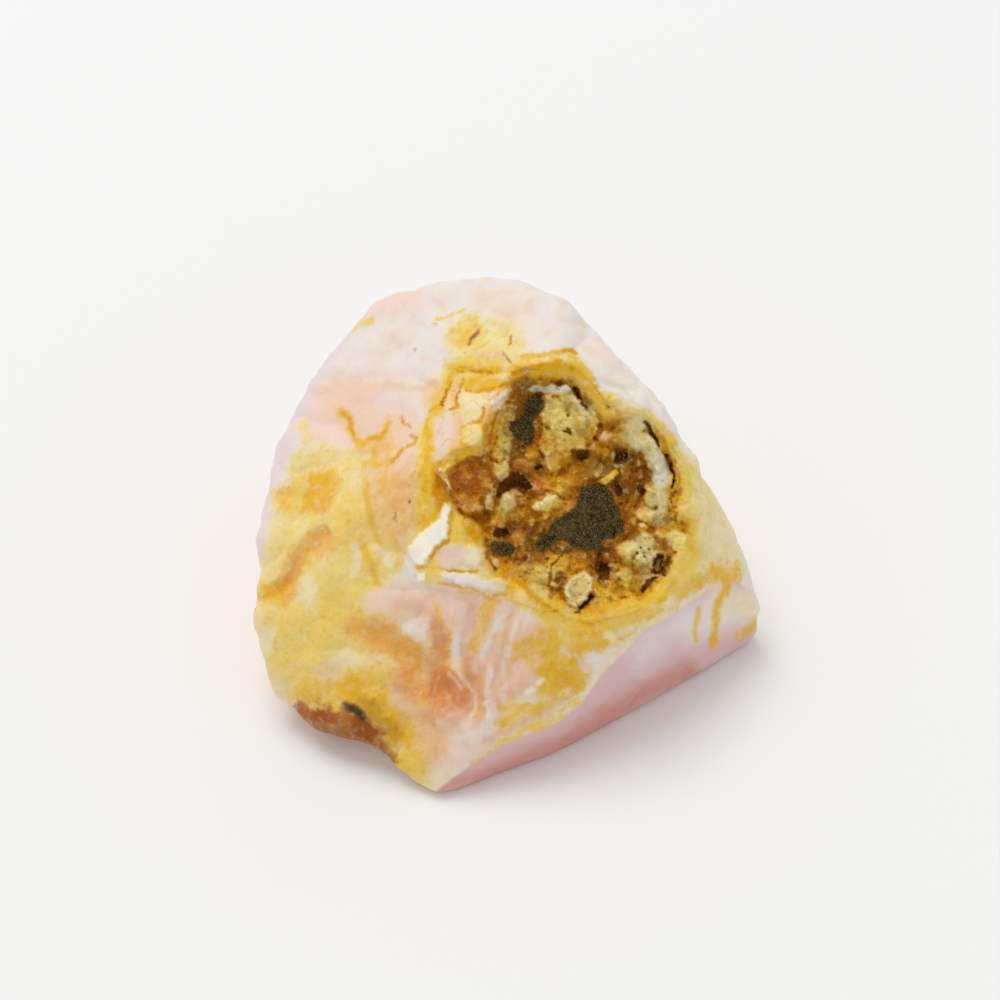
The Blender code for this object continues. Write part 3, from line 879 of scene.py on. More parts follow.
def bridged(depth, missing):
    """The depth with its missing part closed by the film."""
    film = np.where(missing, depth[~missing].mean(), depth)
    for reach in FILM_STEPS:
        for _ in range(FILM_ROUNDS):
            film[missing] = softened(film, reach)[missing]
    return film


base_depth = bridged(depth, in_opening | np.isnan(depth) | (squareness < TURNED_AWAY))
lines_of_sight = sight_lines(pixels)
on_base = EYE + lines_of_sight * base_depth[:, None]
print("film, mm from the eye:", [round(edge / MM, 1) for edge in (base_depth.min(), base_depth.max())])

# %% [markdown]
# ## Ledges, rises and mineral zones
#
# The forms come from the broadest to the finest, with heights in millimetres towards the camera,
# over the film. Left of the hollow the stone flakes off in thin pale ledges. Inside it the floor
# rises and dips, and amber, rust, moss grey and blue-grey chalcedony each keep to their own place.
# A few of the colour zones are painted shade, darker where the crust lies low.

# %% Ledges, rises and mineral zones
LEDGE_OUTLINE = (
    (448, 374), (470, 370), (496, 371), (516, 372), (512, 398), (500, 420), (494, 450), (470, 456),
    (446, 458), (438, 470), (428, 466), (432, 448), (428, 430), (430, 417), (440, 410), (445, 392),
)
# Broad rises and dips of the crust: name, middle, reach, turn and height.
RISES = (
    ("saddle", (622, 412), (36, 18), 10, 0.50),
    ("right shoulder", (652, 440), (22, 32), -40, 0.30),
    ("right foot", (672, 534), (30, 34), 0, 0.20),
    ("speckled mass", (642, 550), (24, 24), 0, 0.45),
    ("column", (656, 484), (16, 44), 0, 0.25),
    ("heart rise", (548, 502), (22, 12), -25, 0.40),
    ("pebble rise", (612, 438), (18, 14), 0, 0.25),
    ("floor rise", (548, 578), (34, 16), 12, 0.35),
    ("block wall", (434, 490), (14, 34), -8, 0.40),
    ("pale mass", (566, 424), (34, 48), -20, 0.25),
    ("top left nook", (521, 432), (20, 42), 8, -0.50),
    ("left heart", (516, 476), (34, 16), 10, -0.60),
    ("under the mass", (592, 462), (46, 14), 4, -0.45),
    ("left foot", (508, 534), (32, 16), 0, -0.50),
    ("below the soot", (600, 562), (40, 14), 0, -0.40),
    ("beside the column", (632, 486), (10, 34), 0, -0.40),
)
# Soft colour zones of the crust, some of them painted shade: name, colour, middle, reach, turn and
# strength.
MINERALS = (
    ("ledge left", "salmon", (432, 396), (16, 26), 10, 0.6),
    ("below the block", "mustard", (444, 516), (16, 14), 0, 0.8),
    ("left of the chip", "honey", (404, 540), (12, 26), 0, 0.5),
    ("low amber rim", "amber", (584, 614), (32, 10), -5, 0.6),
    ("ledge ground", "cream", (468, 410), (44, 52), 12, 0.7),
    ("ledge pink", "blush", (444, 434), (16, 34), 0, 0.7),
    ("ledge pink two", "petal", (458, 430), (9, 28), 0, 0.45),
    ("ledge rim", "mustard", (438, 402), (11, 24), 10, 0.5),
    ("ledge milk", "milk", (500, 400), (16, 16), -35, 0.7),
    ("plate yellow", "honey", (432, 572), (22, 18), 0, 0.7),
    ("plate ground", "cream", (468, 564), (36, 24), 12, 0.85),
    ("plate pink", "blush", (452, 556), (20, 14), 0, 0.7),
    ("plate foot", "milk", (470, 582), (32, 9), 8, 0.7),
    ("shelf", "mustard", (486, 383), (34, 10), 0, 0.9),
    ("strip between lines", "salmon", (457, 390), (8, 18), 12, 0.8),
    ("shelf cream", "cream", (504, 376), (12, 5), 0, 0.7),
    ("inner amber", "amber", (492, 428), (14, 28), 12, 0.95),
    ("inner amber low", "mustard", (466, 452), (26, 9), 0, 0.9),
    ("block amber", "amber", (440, 488), (11, 32), -8, 0.97),
    ("block burnt", "burnt_amber", (440, 480), (5, 12), -8, 0.5),
    # Painted shade: the nook, every zone named shade, and the umber of the heart and of the low nook
    # darken the crust where it lies low or under the rim.
    ("nook", "clay", (521, 382), (16, 15), 0, 0.9),
    ("soot shade", "umber", (524, 418), (22, 36), 8, 0.5),
    ("heart shade", "rust", (594, 508), (54, 54), -20, 0.35),
    ("deep heart shade", "umber", (592, 520), (40, 32), -20, 0.2),
    ("right shade", "umber", (624, 470), (22, 36), 0, 0.6),
    ("low shade", "umber", (520, 540), (44, 24), 5, 0.5),
    ("middle shade", "rust", (520, 478), (34, 24), 10, 0.5),
    ("foot shade", "rust", (604, 566), (24, 22), 0, 0.7),
    ("low nook shade", "umber", (518, 444), (14, 18), 0, 0.7),
    ("block right", "rust", (495, 484), (11, 14), 0, 0.8),
    ("nook grey", "ash", (530, 386), (16, 9), 0, 0.8),
    ("grey shelf", "moss_grey", (507, 430), (12, 34), 8, 0.9),
    ("grey shelf pink", "tan", (506, 418), (8, 14), 0, 0.45),
    ("under the soot", "ash", (512, 453), (18, 8), 0, 0.6),
    ("top gold", "mustard", (554, 370), (36, 10), 4, 0.8),
    ("right gold", "mustard", (592, 396), (9, 24), -30, 0.7),
    ("pale mass", "moss_grey", (566, 418), (36, 44), -20, 0.9),
    ("pale mass light", "butter", (560, 408), (24, 30), -10, 0.55),
    ("mass foot right", "amber", (590, 446), (18, 9), 0, 0.75),
    ("pale mass foot", "butter", (549, 458), (14, 20), 0, 0.7),
    ("pale mass right", "pale_sage", (584, 408), (14, 24), -35, 0.7),
    # Yellow saddle and saddle light are partly the saddle's own butter and cream and partly painted
    # light, lighter than the lamp leaves this slope.
    ("yellow saddle", "butter", (616, 404), (28, 15), 15, 0.95),
    ("saddle light", "cream", (624, 402), (18, 10), 15, 0.4),
    ("right gold shoulder", "mustard", (664, 438), (14, 24), -40, 0.75),
    ("saddle amber", "amber", (618, 412), (7, 4), 0, 0.7),
    ("pebble", "tan", (604, 437), (12, 10), 0, 0.8),
    ("burnt side", "burnt_amber", (628, 446), (14, 12), 30, 0.8),
    ("olive field", "olive", (600, 466), (20, 11), 0, 0.75),
    ("umber field", "umber", (608, 478), (16, 10), 0, 0.6),
    ("amber under it", "amber", (572, 464), (16, 12), 0, 0.8),
    ("coral nook", "clay", (524, 465), (18, 10), 10, 0.9),
    ("coral heart", "coral", (520, 464), (11, 6), 10, 0.55),
    ("right of the hole", "coral", (540, 486), (12, 12), 0, 0.5),
    ("amber heart", "amber", (560, 482), (20, 24), 30, 0.95),
    ("pale heart", "butter", (546, 503), (18, 11), -25, 0.95),
    ("block dark top", "rust", (474, 461), (16, 6), 0, 0.85),
    ("block", "brick", (468, 482), (27, 24), 0, 0.95),
    ("block light", "tan", (457, 500), (14, 10), 20, 0.6),
    ("block glow", "coral", (466, 478), (10, 8), 0, 0.3),
    ("block shade", "rust", (484, 472), (14, 12), 0, 0.6),
    ("block foot", "tan", (468, 506), (20, 12), 10, 0.9),
    ("block crystals", "butter", (500, 468), (12, 11), -30, 0.85),
    ("pale lump", "butter", (489, 504), (8, 10), 0, 0.85),
    ("grey lump", "moss_grey", (508, 505), (16, 17), 0, 0.9),
    ("brown below", "rust", (520, 526), (26, 12), 0, 0.6),
    ("soot foot", "umber", (562, 549), (22, 8), 0, 0.8),
    ("soot foot right", "umber", (606, 548), (14, 10), 0, 0.8),
    ("yellow field", "honey", (460, 530), (22, 18), 0, 0.95),
    ("amber field", "amber", (476, 530), (16, 18), 0, 0.85),
    ("brown edge", "burnt_amber", (486, 524), (10, 16), 0, 0.7),
    ("pink knob", "clay", (519, 538), (11, 12), 0, 0.85),
    ("amber floor", "amber", (506, 566), (34, 16), 15, 0.85),
    ("clay floor", "clay", (524, 560), (18, 12), 10, 0.7),
    ("moss floor", "moss_grey", (544, 575), (36, 18), 12, 0.8),
    ("moss floor two", "moss_grey", (536, 590), (14, 8), 12, 0.6),
    ("rust floor", "rust", (560, 578), (8, 11), 10, 0.85),
    ("rust nick", "rust", (551, 593), (4, 8), 0, 0.7),
    ("amber floor right", "mustard", (612, 596), (40, 14), -8, 0.9),
    ("rust ring", "burnt_amber", (628, 520), (14, 28), 0, 0.95),
    ("rust ring gold", "mustard", (634, 514), (6, 14), 0, 0.6),
    ("rust right", "rust", (634, 480), (13, 20), 0, 0.9),
    ("pale column", "pale_sage", (644, 436), (26, 34), -30, 0.95),
    ("pale column mid", "blue_grey", (660, 472), (16, 28), -4, 0.95),
    ("pale column low", "pale_sage", (658, 508), (16, 22), 8, 0.95),
    ("smoky column", "ash", (662, 520), (11, 9), 0, 0.5),
    ("speckled mass", "moss_grey", (640, 552), (24, 22), -20, 0.97),
    ("speckled light", "pale_sage", (643, 546), (22, 18), -20, 0.85),
    ("grey foot", "ash", (646, 576), (13, 18), 25, 0.85),
    ("moss right low", "moss_grey", (624, 576), (14, 12), 0, 0.75),
    ("grey rust", "clay", (600, 556), (16, 8), 0, 0.7),
    ("right gold wall", "honey", (676, 500), (11, 44), -4, 0.85),
    ("butter lump", "butter", (677, 541), (15, 14), 0, 0.9),
    ("gold by the hole", "honey", (682, 566), (24, 26), 0, 0.85),
)
print(len(RISES), "rises and dips,", len(MINERALS), "mineral zones")

# %% [markdown]
# ## Blocks and patches
#
# Tiles of the ledge, the white chip, the brown block and the soot-black patches have straight or
# torn edges that no oval gives. Each is an outline that stands up like a low table, or lies sunk
# where its height is below zero.

# %% Blocks and patches
# Blocks: name, colour, height, edge in pixels, strength, soot and corners.
BLOCKS = (
    ("tile one", "cream", 0.12, 6, 0.6, 0,
     ((462, 393), (470, 390), (482, 391), (488, 397), (486, 405), (478, 411), (466, 412), (460, 404))),
    ("tile two", "lilac_white", 0.13, 6, 0.5, 0,
     ((434, 419), (444, 415), (452, 414), (452, 430), (451, 446), (450, 458), (440, 462), (431, 462),
      (434, 448), (431, 434))),
    ("tile two right", "petal", 0.10, 6, 0.4, 0,
     ((453, 413), (462, 412), (464, 422), (460, 434), (460, 448), (453, 456), (453, 436))),
    ("tile three", "butter", 0.12, 5, 0.7, 0,
     ((464, 431), (472, 428), (482, 427), (485, 434), (481, 447), (470, 448), (462, 442))),
    ("slab one", "milk", 0.14, 5, 0.75, 0,
     ((488, 402), (498, 394), (510, 387), (512, 392), (502, 401), (492, 407))),
    ("slab two", "lilac_white", 0.06, 5, 0.6, 0,
     ((488, 411), (496, 404), (508, 396), (509, 402), (498, 410), (490, 414))),
    ("chip", "chalk", 0.26, 5, 1.0, 0,
     ((443, 503), (452, 506), (450, 523), (448, 540), (436, 547), (428, 560), (426, 567), (419, 567),
      (411, 560), (409, 548), (416, 538), (428, 528), (441, 517))),
    ("small chip", "chalk", 0.10, 2.0, 0.95, 0, ((417, 573), (425, 573), (425, 581), (417, 582))),
    ("plate one", "blush", 0.14, 6.0, 0.6, 0,
     ((434, 549), (446, 544), (460, 543), (468, 546), (466, 562), (456, 569), (446, 569), (434, 565))),
    ("plate one bright", "cream", 0.18, 6, 0.8, 0,
     ((465, 547), (474, 544), (483, 550), (484, 560), (476, 569), (466, 566))),
    ("plate two", "milk", 0.18, 5, 0.75, 0,
     ((438, 574), (452, 574), (470, 576), (488, 580), (500, 577), (508, 584), (506, 593), (494, 592),
      (478, 588), (456, 584), (442, 579))),
    ("plate two light", "butter", 0.10, 6, 0.6, 0, ((492, 578), (504, 576), (508, 586), (498, 590))),
    ("white crystals", "blue_grey", 0.30, 3, 0.9, 0,
     ((526, 390), (534, 384), (544, 386), (552, 382), (558, 385), (568, 385), (572, 392), (560, 394),
      (546, 394), (534, 393))),
    ("white crystal top", "milk", 0.20, 2, 0.9, 0,
     ((556, 386), (562, 384), (569, 385), (571, 390), (560, 391))),
    ("pale mass", "moss_grey", 0.50, 5, 0.0, 0,
     ((544, 396), (560, 390), (574, 392), (584, 404), (598, 416), (602, 428), (592, 440), (596, 447),
      (584, 452), (574, 450), (566, 460), (560, 470), (549, 474), (545, 464), (541, 450), (542, 424))),
    ("brown block", "clay", 0.58, 6, 0.0, 0,
     ((447, 466), (462, 458), (482, 458), (498, 464), (508, 458), (508, 470), (501, 479), (494, 488),
      (497, 497), (490, 506), (478, 514), (464, 513), (455, 504), (450, 490), (442, 479), (441, 470))),
    # The red hole is laid dark red: partly its own oxide, partly painted shade inside the hole.
    ("red hole", "dark_red", -0.9, 4, 0.85, 0,
     ((493, 499), (497, 488), (504, 478), (511, 472), (519, 474), (528, 481), (532, 490), (525, 494),
      (516, 490), (508, 490), (500, 497))),
    ("upper soot", "soot", -0.06, 3.5, 1.0, 1,
     ((529, 395), (536, 392), (543, 397), (544, 406), (538, 416), (533, 421), (534, 434), (531, 445),
      (524, 446), (517, 440), (511, 430), (510, 422), (518, 418), (524, 410), (526, 400))),
    ("main soot", "soot", 0.22, 3.5, 1.0, 1,
     ((581, 486), (590, 484), (610, 485), (614, 500), (619, 512), (624, 525), (622, 534), (610, 538),
      (602, 541), (599, 550), (588, 550), (576, 547), (566, 541), (554, 539), (545, 534), (551, 522),
      (562, 516), (576, 508), (580, 497))),
    ("soot tail", "soot", 0.06, 3, 0.95, 1,
     ((534, 541), (542, 535), (554, 534), (562, 540), (556, 546), (546, 551), (536, 550))),
    ("left soot", "soot", 0.06, 3, 1.0, 1,
     ((490, 543), (496, 541), (506, 542), (514, 545), (515, 551), (510, 557), (500, 557), (493, 552))),
    ("grey point", "pale_sage", 0.65, 3.5, 0.75, 0,
     ((563, 588), (572, 577), (585, 572), (594, 578), (592, 590), (586, 599), (577, 608), (568, 604))),
    ("amber plate", "mustard", 0.28, 2, 0.95, 0,
     ((596, 483), (606, 476), (617, 469), (620, 475), (606, 485))),
)
print(len(BLOCKS), "blocks and patches")

# %% [markdown]
# ## Knobs, cracks and pits
#
# Chalcedony grows as round knobs, so these are domes and not the soft spots used for colour.
# Cracks and walls are lines that sink or rise, and pits are small spots. They come last, because
# they cut through everything else.

# %% Knobs, cracks and pits
# Knobs: name, colour, middle, reach, turn, height and strength.
KNOBS = (
    ("first grey knob", "pale_sage", (633, 423), (14, 15), 25, 0.45, 0.5),
    ("under it", "pale_sage", (630, 438), (10, 8), 30, 0.30, 0.4),
    ("second", "pale_sage", (645, 443), (14, 13), 40, 0.40, 0.5),
    ("third", "blue_grey", (655, 460), (13, 12), 60, 0.45, 0.6),
    ("fourth", "blue_grey", (661, 476), (12, 15), 0, 0.50, 0.6),
    ("fifth", "pale_sage", (656, 496), (15, 14), 0, 0.42, 0.6),
    ("sixth", "butter", (646, 514), (11, 8), 0, 0.35, 0.5),
    ("smoky knob", "ash", (663, 521), (10, 8), -20, 0.25, 0.5),
    # Painted highlight: this small chalk knob stands for a sparkle of light on the knob column.
    ("painted sparkle nub", "chalk", (643, 525), (5, 4), 0, 0.25, 0.6),
    ("speckled knob", "pale_sage", (644, 542), (13, 11), 0, 0.40, 0.4),
    ("yellow knob", "butter", (627, 549), (11, 11), 0, 0.40, 0.5),
    ("low grey knob", "ash", (646, 562), (12, 9), -40, 0.35, 0.4),
    ("lowest grey knob", "ash", (645, 578), (10, 10), 0, 0.35, 0.4),
    ("honey knob", "moss_grey", (626, 574), (10, 8), 0, 0.30, 0.4),
    ("moss nub", "moss_grey", (612, 566), (6, 6), 0, 0.20, 0.4),
    ("butter knob", "butter", (676, 540), (12, 12), 0, 0.35, 0.6),
    ("outer knob", "butter", (692, 509), (11, 12), 0, 0.30, 0.6),
    ("pebble", "petal", (605, 437), (9, 8), 0, 0.30, 0.4),
    ("saddle lump", "honey", (612, 400), (12, 9), 0, 0.22, 0.3),
    ("pale lump", "butter", (489, 504), (6, 8), 0, 0.30, 0.5),
    ("grey lump", "pale_sage", (508, 503), (10, 11), 0, 0.35, 0.5),
    ("bright ridge", "butter", (546, 501), (14, 8), -30, 0.35, 0.8),
    ("bright ridge two", "butter", (538, 508), (7, 5), 0, 0.25, 0.6),
    ("pink knob", "tan", (519, 538), (9, 9), 0, 0.35, 0.4),
    ("tan nub", "salmon", (495, 562), (5, 6), 0, 0.30, 0.7),
    ("coral swell", "tan", (524, 465), (14, 8), 10, 0.25, 0.4),
    ("coral swell two", "coral", (540, 486), (10, 10), 0, 0.25, 0.25),
    ("grey lump low", "moss_grey", (538, 580), (14, 10), 0, 0.28, 0.4),
    ("moss lump", "moss_grey", (560, 562), (13, 8), 0, 0.22, 0.4),
    ("gold lump", "honey", (660, 590), (13, 10), -30, 0.16, 0.4),
    ("gold lump two", "honey", (630, 606), (16, 8), -10, 0.14, 0.4),
    ("gold lump three", "honey", (592, 618), (14, 7), -6, 0.14, 0.4),
    ("cream lump", "cream", (526, 598), (14, 9), 20, 0.12, 0.4),
)
# Cracks and walls: name, colour, points, half width, height and strength.
CRACKS = (
    ("ledge line", "mustard",
     ((516, 370), (495, 370), (470, 369), (453, 373), (447, 384), (445, 396), (441, 408), (430, 413),
      (425, 424), (428, 438), (429, 451), (426, 463), (423, 476), (424, 492)), 4.6, -0.14, 0.95),
    ("ledge line dark", "amber",
     ((498, 372), (470, 371), (456, 374), (447, 390), (443, 404)), 2.0, -0.06, 0.85),
    ("ledge line spots", "burnt_amber",
     ((446, 392), (445, 396), (442, 405), (444, 408)), 1.8, -0.05, 0.7),
    ("second line", "amber",
     ((465, 378), (461, 387), (458, 396), (457, 406), (451, 410)), 2.6, -0.10, 0.85),
    ("second line dark", "burnt_amber", ((462, 386), (458, 398)), 1.5, -0.04, 0.35),
    ("shelf foot", "amber", ((468, 388), (488, 390), (508, 384)), 3.0, -0.08, 0.75),
    ("tile crack", "amber",
     ((463, 428), (472, 423), (480, 421), (484, 412), (485, 406)), 2.8, -0.10, 0.9),
    ("tile foot", "mustard", ((462, 428), (460, 442), (466, 450), (478, 451)), 3.0, -0.08, 0.85),
    ("slab crack", "amber", ((512, 384), (500, 393), (489, 400)), 1.8, -0.06, 0.6),
    ("slab crack two", "mustard", ((511, 395), (498, 405), (488, 410)), 1.8, -0.06, 0.7),
    ("inner burnt", "burnt_amber",
     ((512, 400), (498, 414), (491, 426), (489, 442), (480, 452)), 3.4, -0.22, 0.6),
    ("block white edge", "chalk", ((449, 465), (443, 469), (446, 480), (450, 492)), 3.4, 0.20, 0.9),
    ("crystal edge", "butter", ((508, 460), (506, 474), (498, 484), (495, 496)), 2.0, 0.12, 0.7),
    # Painted shadow: a burnt amber line under the brown block, over a shallow groove.
    ("shadow line under the block", "burnt_amber",
     ((454, 508), (466, 517), (480, 516), (492, 509)), 2.6, -0.15, 0.4),
    ("plate line", "mustard",
     ((418, 567), (436, 568), (451, 571), (466, 573), (484, 571)), 2.8, -0.12, 0.95),
    ("plate foot", "apricot", ((440, 583), (470, 590), (490, 595), (508, 595)), 2.8, -0.10, 0.6),
    ("chip rim", "mustard",
     ((452, 508), (451, 524), (449, 541), (436, 548), (428, 562)), 3.0, -0.12, 0.7),
    ("gold ridge", "mustard",
     ((516, 374), (530, 367), (548, 363), (566, 361), (580, 365), (590, 378), (598, 394),
      (606, 404)), 9.0, 0.20, 0.75),
    ("gold ridge dark", "amber",
     ((512, 372), (530, 366), (548, 362), (564, 361), (572, 368)), 3.6, -0.05, 0.5),
    ("gold ridge burnt", "burnt_amber", ((514, 374), (526, 370), (540, 368)), 2.5, -0.10, 0.4),
    ("crevice", "umber", ((575, 388), (580, 398), (586, 408), (590, 412)), 3.6, -0.65, 0.9),
    ("crevice glints", "amber", ((578, 392), (584, 400)), 2.0, 0.10, 0.6),
    ("right wall", "honey",
     ((646, 408), (662, 424), (678, 448), (687, 474), (687, 500), (682, 520)), 8.0, 0.20, 0.75),
    ("right wall dark", "amber",
     ((654, 428), (664, 442), (676, 464), (679, 486), (674, 512)), 4.0, -0.10, 0.7),
    ("right crevice", "umber", ((644, 421), (652, 435), (660, 446)), 2.3, -0.50, 0.7),
    ("right crevice low", "umber", ((667, 455), (672, 464), (674, 474), (672, 487)), 2.6, -0.70, 0.8),
    ("gold pit", "mustard", ((672, 494), (671, 510), (677, 524)), 5.0, -0.35, 0.8),
    ("edge crack", "rust", ((658, 575), (648, 582), (641, 592)), 3.0, -0.60, 0.95),
    ("point crack", "umber", ((590, 597), (585, 603), (577, 612)), 3.8, -0.85, 0.95),
    ("low amber", "amber", ((508, 576), (522, 586), (534, 598), (556, 612)), 6.0, -0.12, 0.8),
    ("floor crack", "umber", ((600, 552), (596, 566), (600, 584)), 2.4, -0.3, 0.6),
    ("floor crack two", "rust", ((566, 552), (552, 566), (549, 584)), 2.4, -0.22, 0.6),
    ("floor crack three", "umber", ((486, 540), (488, 556), (496, 570)), 3.0, -0.25, 0.5),
    ("soot ring", "rust", ((578, 494), (552, 516), (540, 536)), 4.0, -0.1, 0.4),
    ("heart crack", "rust", ((530, 494), (540, 500), (548, 492), (566, 500)), 2.6, -0.2, 0.6),
    ("column crack", "rust", ((640, 452), (646, 470), (642, 492), (636, 508)), 3.6, -0.3, 0.75),
    ("mass edge", "rust", ((602, 430), (592, 444), (572, 462), (556, 476)), 3.4, -0.2, 0.6),
    ("mass left edge", "burnt_amber", ((540, 420), (538, 444), (544, 466)), 2.6, -0.15, 0.6),
)
# Pits: name, colour, middle, reach, turn, depth and strength. Their dark colours are partly the
# crust's own dark oxides and partly painted shade inside the pit.
PITS = (
    ("sooty pit", "dark_red", (538, 467), (5.5, 5), 0, -0.7, 0.95),
    ("middle chip", "dark_red", (581, 454), (12, 6.5), 0, -0.5, 0.95),
    ("right chip", "dark_red", (621, 456), (10, 12), -30, -0.5, 0.9),
    ("soot strip", "dark_red", (618, 489), (6, 11), -10, -0.45, 0.95),
    ("brown pit", "umber", (640, 490), (5, 9), 0, -0.4, 0.7),
    ("low left hole", "dark_red", (501, 532), (11, 6), 6, -0.7, 0.95),
    ("rust hole", "dark_red", (604, 572), (8, 12), 10, -0.9, 0.85),
    ("edge hole", "dark_red", (658, 562), (7, 12), 6, -1.3, 0.95),
    ("edge hole glow", "amber", (667, 564), (5, 9), 10, -0.5, 0.5),
    ("edge hole foot", "umber", (661, 571), (8, 5), 20, -0.7, 0.6),
    ("upper nick", "umber", (600, 426), (3.5, 4.5), 0, -0.4, 0.7),
    ("gold nick", "burnt_amber", (574, 352), (4, 3), 0, -0.2, 0.5),
    ("pale nick", "amber", (556, 397), (4.5, 3.5), 0, -0.2, 0.9),
    ("moss nick", "rust", (568, 431), (4.5, 3.5), -20, -0.3, 0.85),
    ("moss nick two", "amber", (547, 427), (5, 3), 0, -0.2, 0.8),
    ("moss nick three", "umber", (568, 414), (2.2, 2.2), 0, -0.2, 0.8),
    ("speckle one", "umber", (640, 547), (2, 2), 0, -0.15, 0.8),
    ("speckle two", "umber", (648, 549), (2, 2), 0, -0.15, 0.8),
    ("speckle three", "umber", (644, 556), (2, 2), 0, -0.15, 0.7),
    ("speckle four", "umber", (637, 553), (2, 2), 0, -0.15, 0.8),
    ("speckle five", "umber", (653, 571), (3.5, 2.5), 0, -0.2, 0.7),
    ("speckle six", "umber", (592, 577), (2, 2), 0, -0.1, 0.7),
)

print(len(KNOBS), "knobs,", len(CRACKS), "cracks and walls,", len(PITS), "pits")

# %% [markdown]
# ## Broken grain
#
# Between the named forms the crust is a rubble of broken grains in two sizes. Round bumps would
# look like gravel, so each grain is a cell with its own tilted face and its own height. Creases
# between rounded humps and tiny packed grains are added to that. Inside the hollow the rubble has
# its full height, and it fades out over a narrow strip of the rim.

# %% Broken grain
SHEET_OVER_SKIN = 0.03  # heights are in millimetres
LEDGE_DEPTH = 0.10
CRUST_LEVEL = -0.62
SHAKE, SHAKE_SIZE = 0.12, 0.5
BIG_GRAIN, SMALL_GRAIN = 1.15, 0.46
SHAKE_SEEDS = (73, 74, 75)
WIDE_FADE = 0.9  # the share of a rise that fades
HOLLOW_EDGE = (-2.0, 7.0)  # in pixels from the outline
LEDGE_EDGE = (-1.0, 2.0)
MINERAL_EDGE = (-12.0, 2.0)

soft_edge = wander(pixels, on_base, 3.2, broad=0.6)
fine_edge = wander(pixels, on_base, 1.9)
torn_edge = wander(pixels, on_base, 4.6, broad=0.2)
into_hollow = into_patch(fine_edge, HOLLOW_OUTLINE)
in_hollow = smooth(into_hollow, *HOLLOW_EDGE)
on_ledge = smooth(into_patch(fine_edge, LEDGE_OUTLINE), *LEDGE_EDGE)
in_minerals = smooth(into_hollow, *MINERAL_EDGE)

shakes = [swell(on_base, SHAKE_SIZE, seed) for seed in SHAKE_SEEDS]
shaken = on_base + SHAKE * MM * np.column_stack(shakes)
big_face, big_number = facets(shaken, BIG_GRAIN, 71)
small_face, small_number = facets(shaken, SMALL_GRAIN, 72)
lumps = 0.28 * crease(on_base, 1.7, 61) + 0.60 * big_face + 0.34 * (big_number - 0.5)
lumps = blurred(lumps, 1) + 0.16 * crease(on_base, 0.7, 62) + 0.08 * crease(on_base, 0.33, 78)
lumps += 0.34 * small_face + 0.12 * (small_number - 0.5)
grains = 0.09 * cells(on_base, 0.30, 64) + 0.05 * swell(on_base, 0.14, 65)

height = np.full(len(pixels), SHEET_OVER_SKIN) - LEDGE_DEPTH * on_ledge
height += in_hollow * (CRUST_LEVEL + lumps + grains)
height += (1.0 - in_hollow) * in_minerals * (0.22 * lumps + 0.5 * grains)
for _, middle, reach, turn, rise in RISES:
    height += rise * spot(soft_edge, middle, reach, turn, WIDE_FADE)
print("grain, mm:", round(lumps.min(), 2), "to", round(lumps.max(), 2))

# %% [markdown]
# ## Colours of the minerals
#
# The sheet starts with the stone's own colours, so that its border can't be seen. Amber and rust
# fill the hollow, the zones are laid over them, and then each grain is a little lighter or darker
# by its own number, as real grains are.

# %% Colours of the minerals
PATCHY = ((1.0, 1.3, 66), (0.5, 0.5, 67))

crust_tint = stone_tint(on_base, np.ones(len(pixels)))
patchy = swells(on_base, PATCHY)
lay(crust_tint, "amber", in_hollow * 0.9)
lay_where(crust_tint, "rust", patchy, -0.05, 0.45, 0.55 * in_hollow)
lay_where(crust_tint, "clay", -patchy, 0.10, 0.5, 0.6 * in_hollow)
for _, name, middle, reach, turn, strength in MINERALS:
    lay(crust_tint, name, spot(soft_edge, middle, reach, turn) * strength)
big_tone = blurred(blurred(big_number, 3), 2)
small_tone = blurred(small_number, 2)
lay_where(crust_tint, "rust", -big_tone, -0.45, -0.05, 0.35 * in_hollow)
lay_where(crust_tint, "butter", big_tone, 0.60, 0.95, 0.25 * in_hollow)
lay_where(crust_tint, "umber", -small_tone, -0.40, -0.10, 0.25 * in_hollow)
lay_where(crust_tint, "mustard", small_tone, 0.6, 0.9, 0.30 * in_minerals)
print("mineral points:", int(in_minerals.sum()))

# %% [markdown]
# ## Raising blocks and knobs
#
# Each block and knob raises the sheet and lays its colour in one go, so that form and colour share
# their edge. The sooty patches and sunk blocks have torn edges with rust round them. Soot is kept
# as a number for each point, for the material. On blocks and knobs the rubble is calmed, because a
# grown face is smoother than a broken one.

# %% Raising blocks and knobs
BLOCK_CALM, KNOB_CALM = 0.5, 0.7
WIDE_EDGE = 4  # a block with a wider edge than this is wavy

soot = np.zeros(len(pixels))
calm = np.zeros(len(pixels))  # how far a knob or block smooths the lumps away


def edge_for(edge, torn):
    """The strayed pixels that suit a block: torn, softly wavy or fine."""
    if torn:
        return torn_edge
    return soft_edge if edge > WIDE_EDGE else fine_edge


for _, name, rise, edge, strength, sooty, corners in BLOCKS:
    torn = rise < 0.0 or sooty
    inside = into_patch(edge_for(edge, torn), corners)
    cover = smooth(inside, -0.4 * edge, 0.6 * edge)
    if torn:
        lay_where(crust_tint, "rust", inside, -9.0, 0.0, 0.4)
    height += rise * cover
    lay(crust_tint, name, cover * strength)
    soot += (sooty - soot) * cover
    calm = np.maximum(calm, cover * BLOCK_CALM)
for _, name, middle, reach, turn, rise, strength in KNOBS:
    swollen = dome(soft_edge, middle, reach, turn)
    height += rise * swollen
    lay_where(crust_tint, name, swollen, 0.05, 0.7, strength)
    soot *= 1.0 - smooth(swollen, 0.0, 0.4)
    calm = np.maximum(calm, smooth(swollen, 0.0, 0.5) * KNOB_CALM)
swirl(on_base, crust_tint, 0.8 * in_minerals - 0.55 * in_hollow)
print("sooty points:", int(soot.sum()))

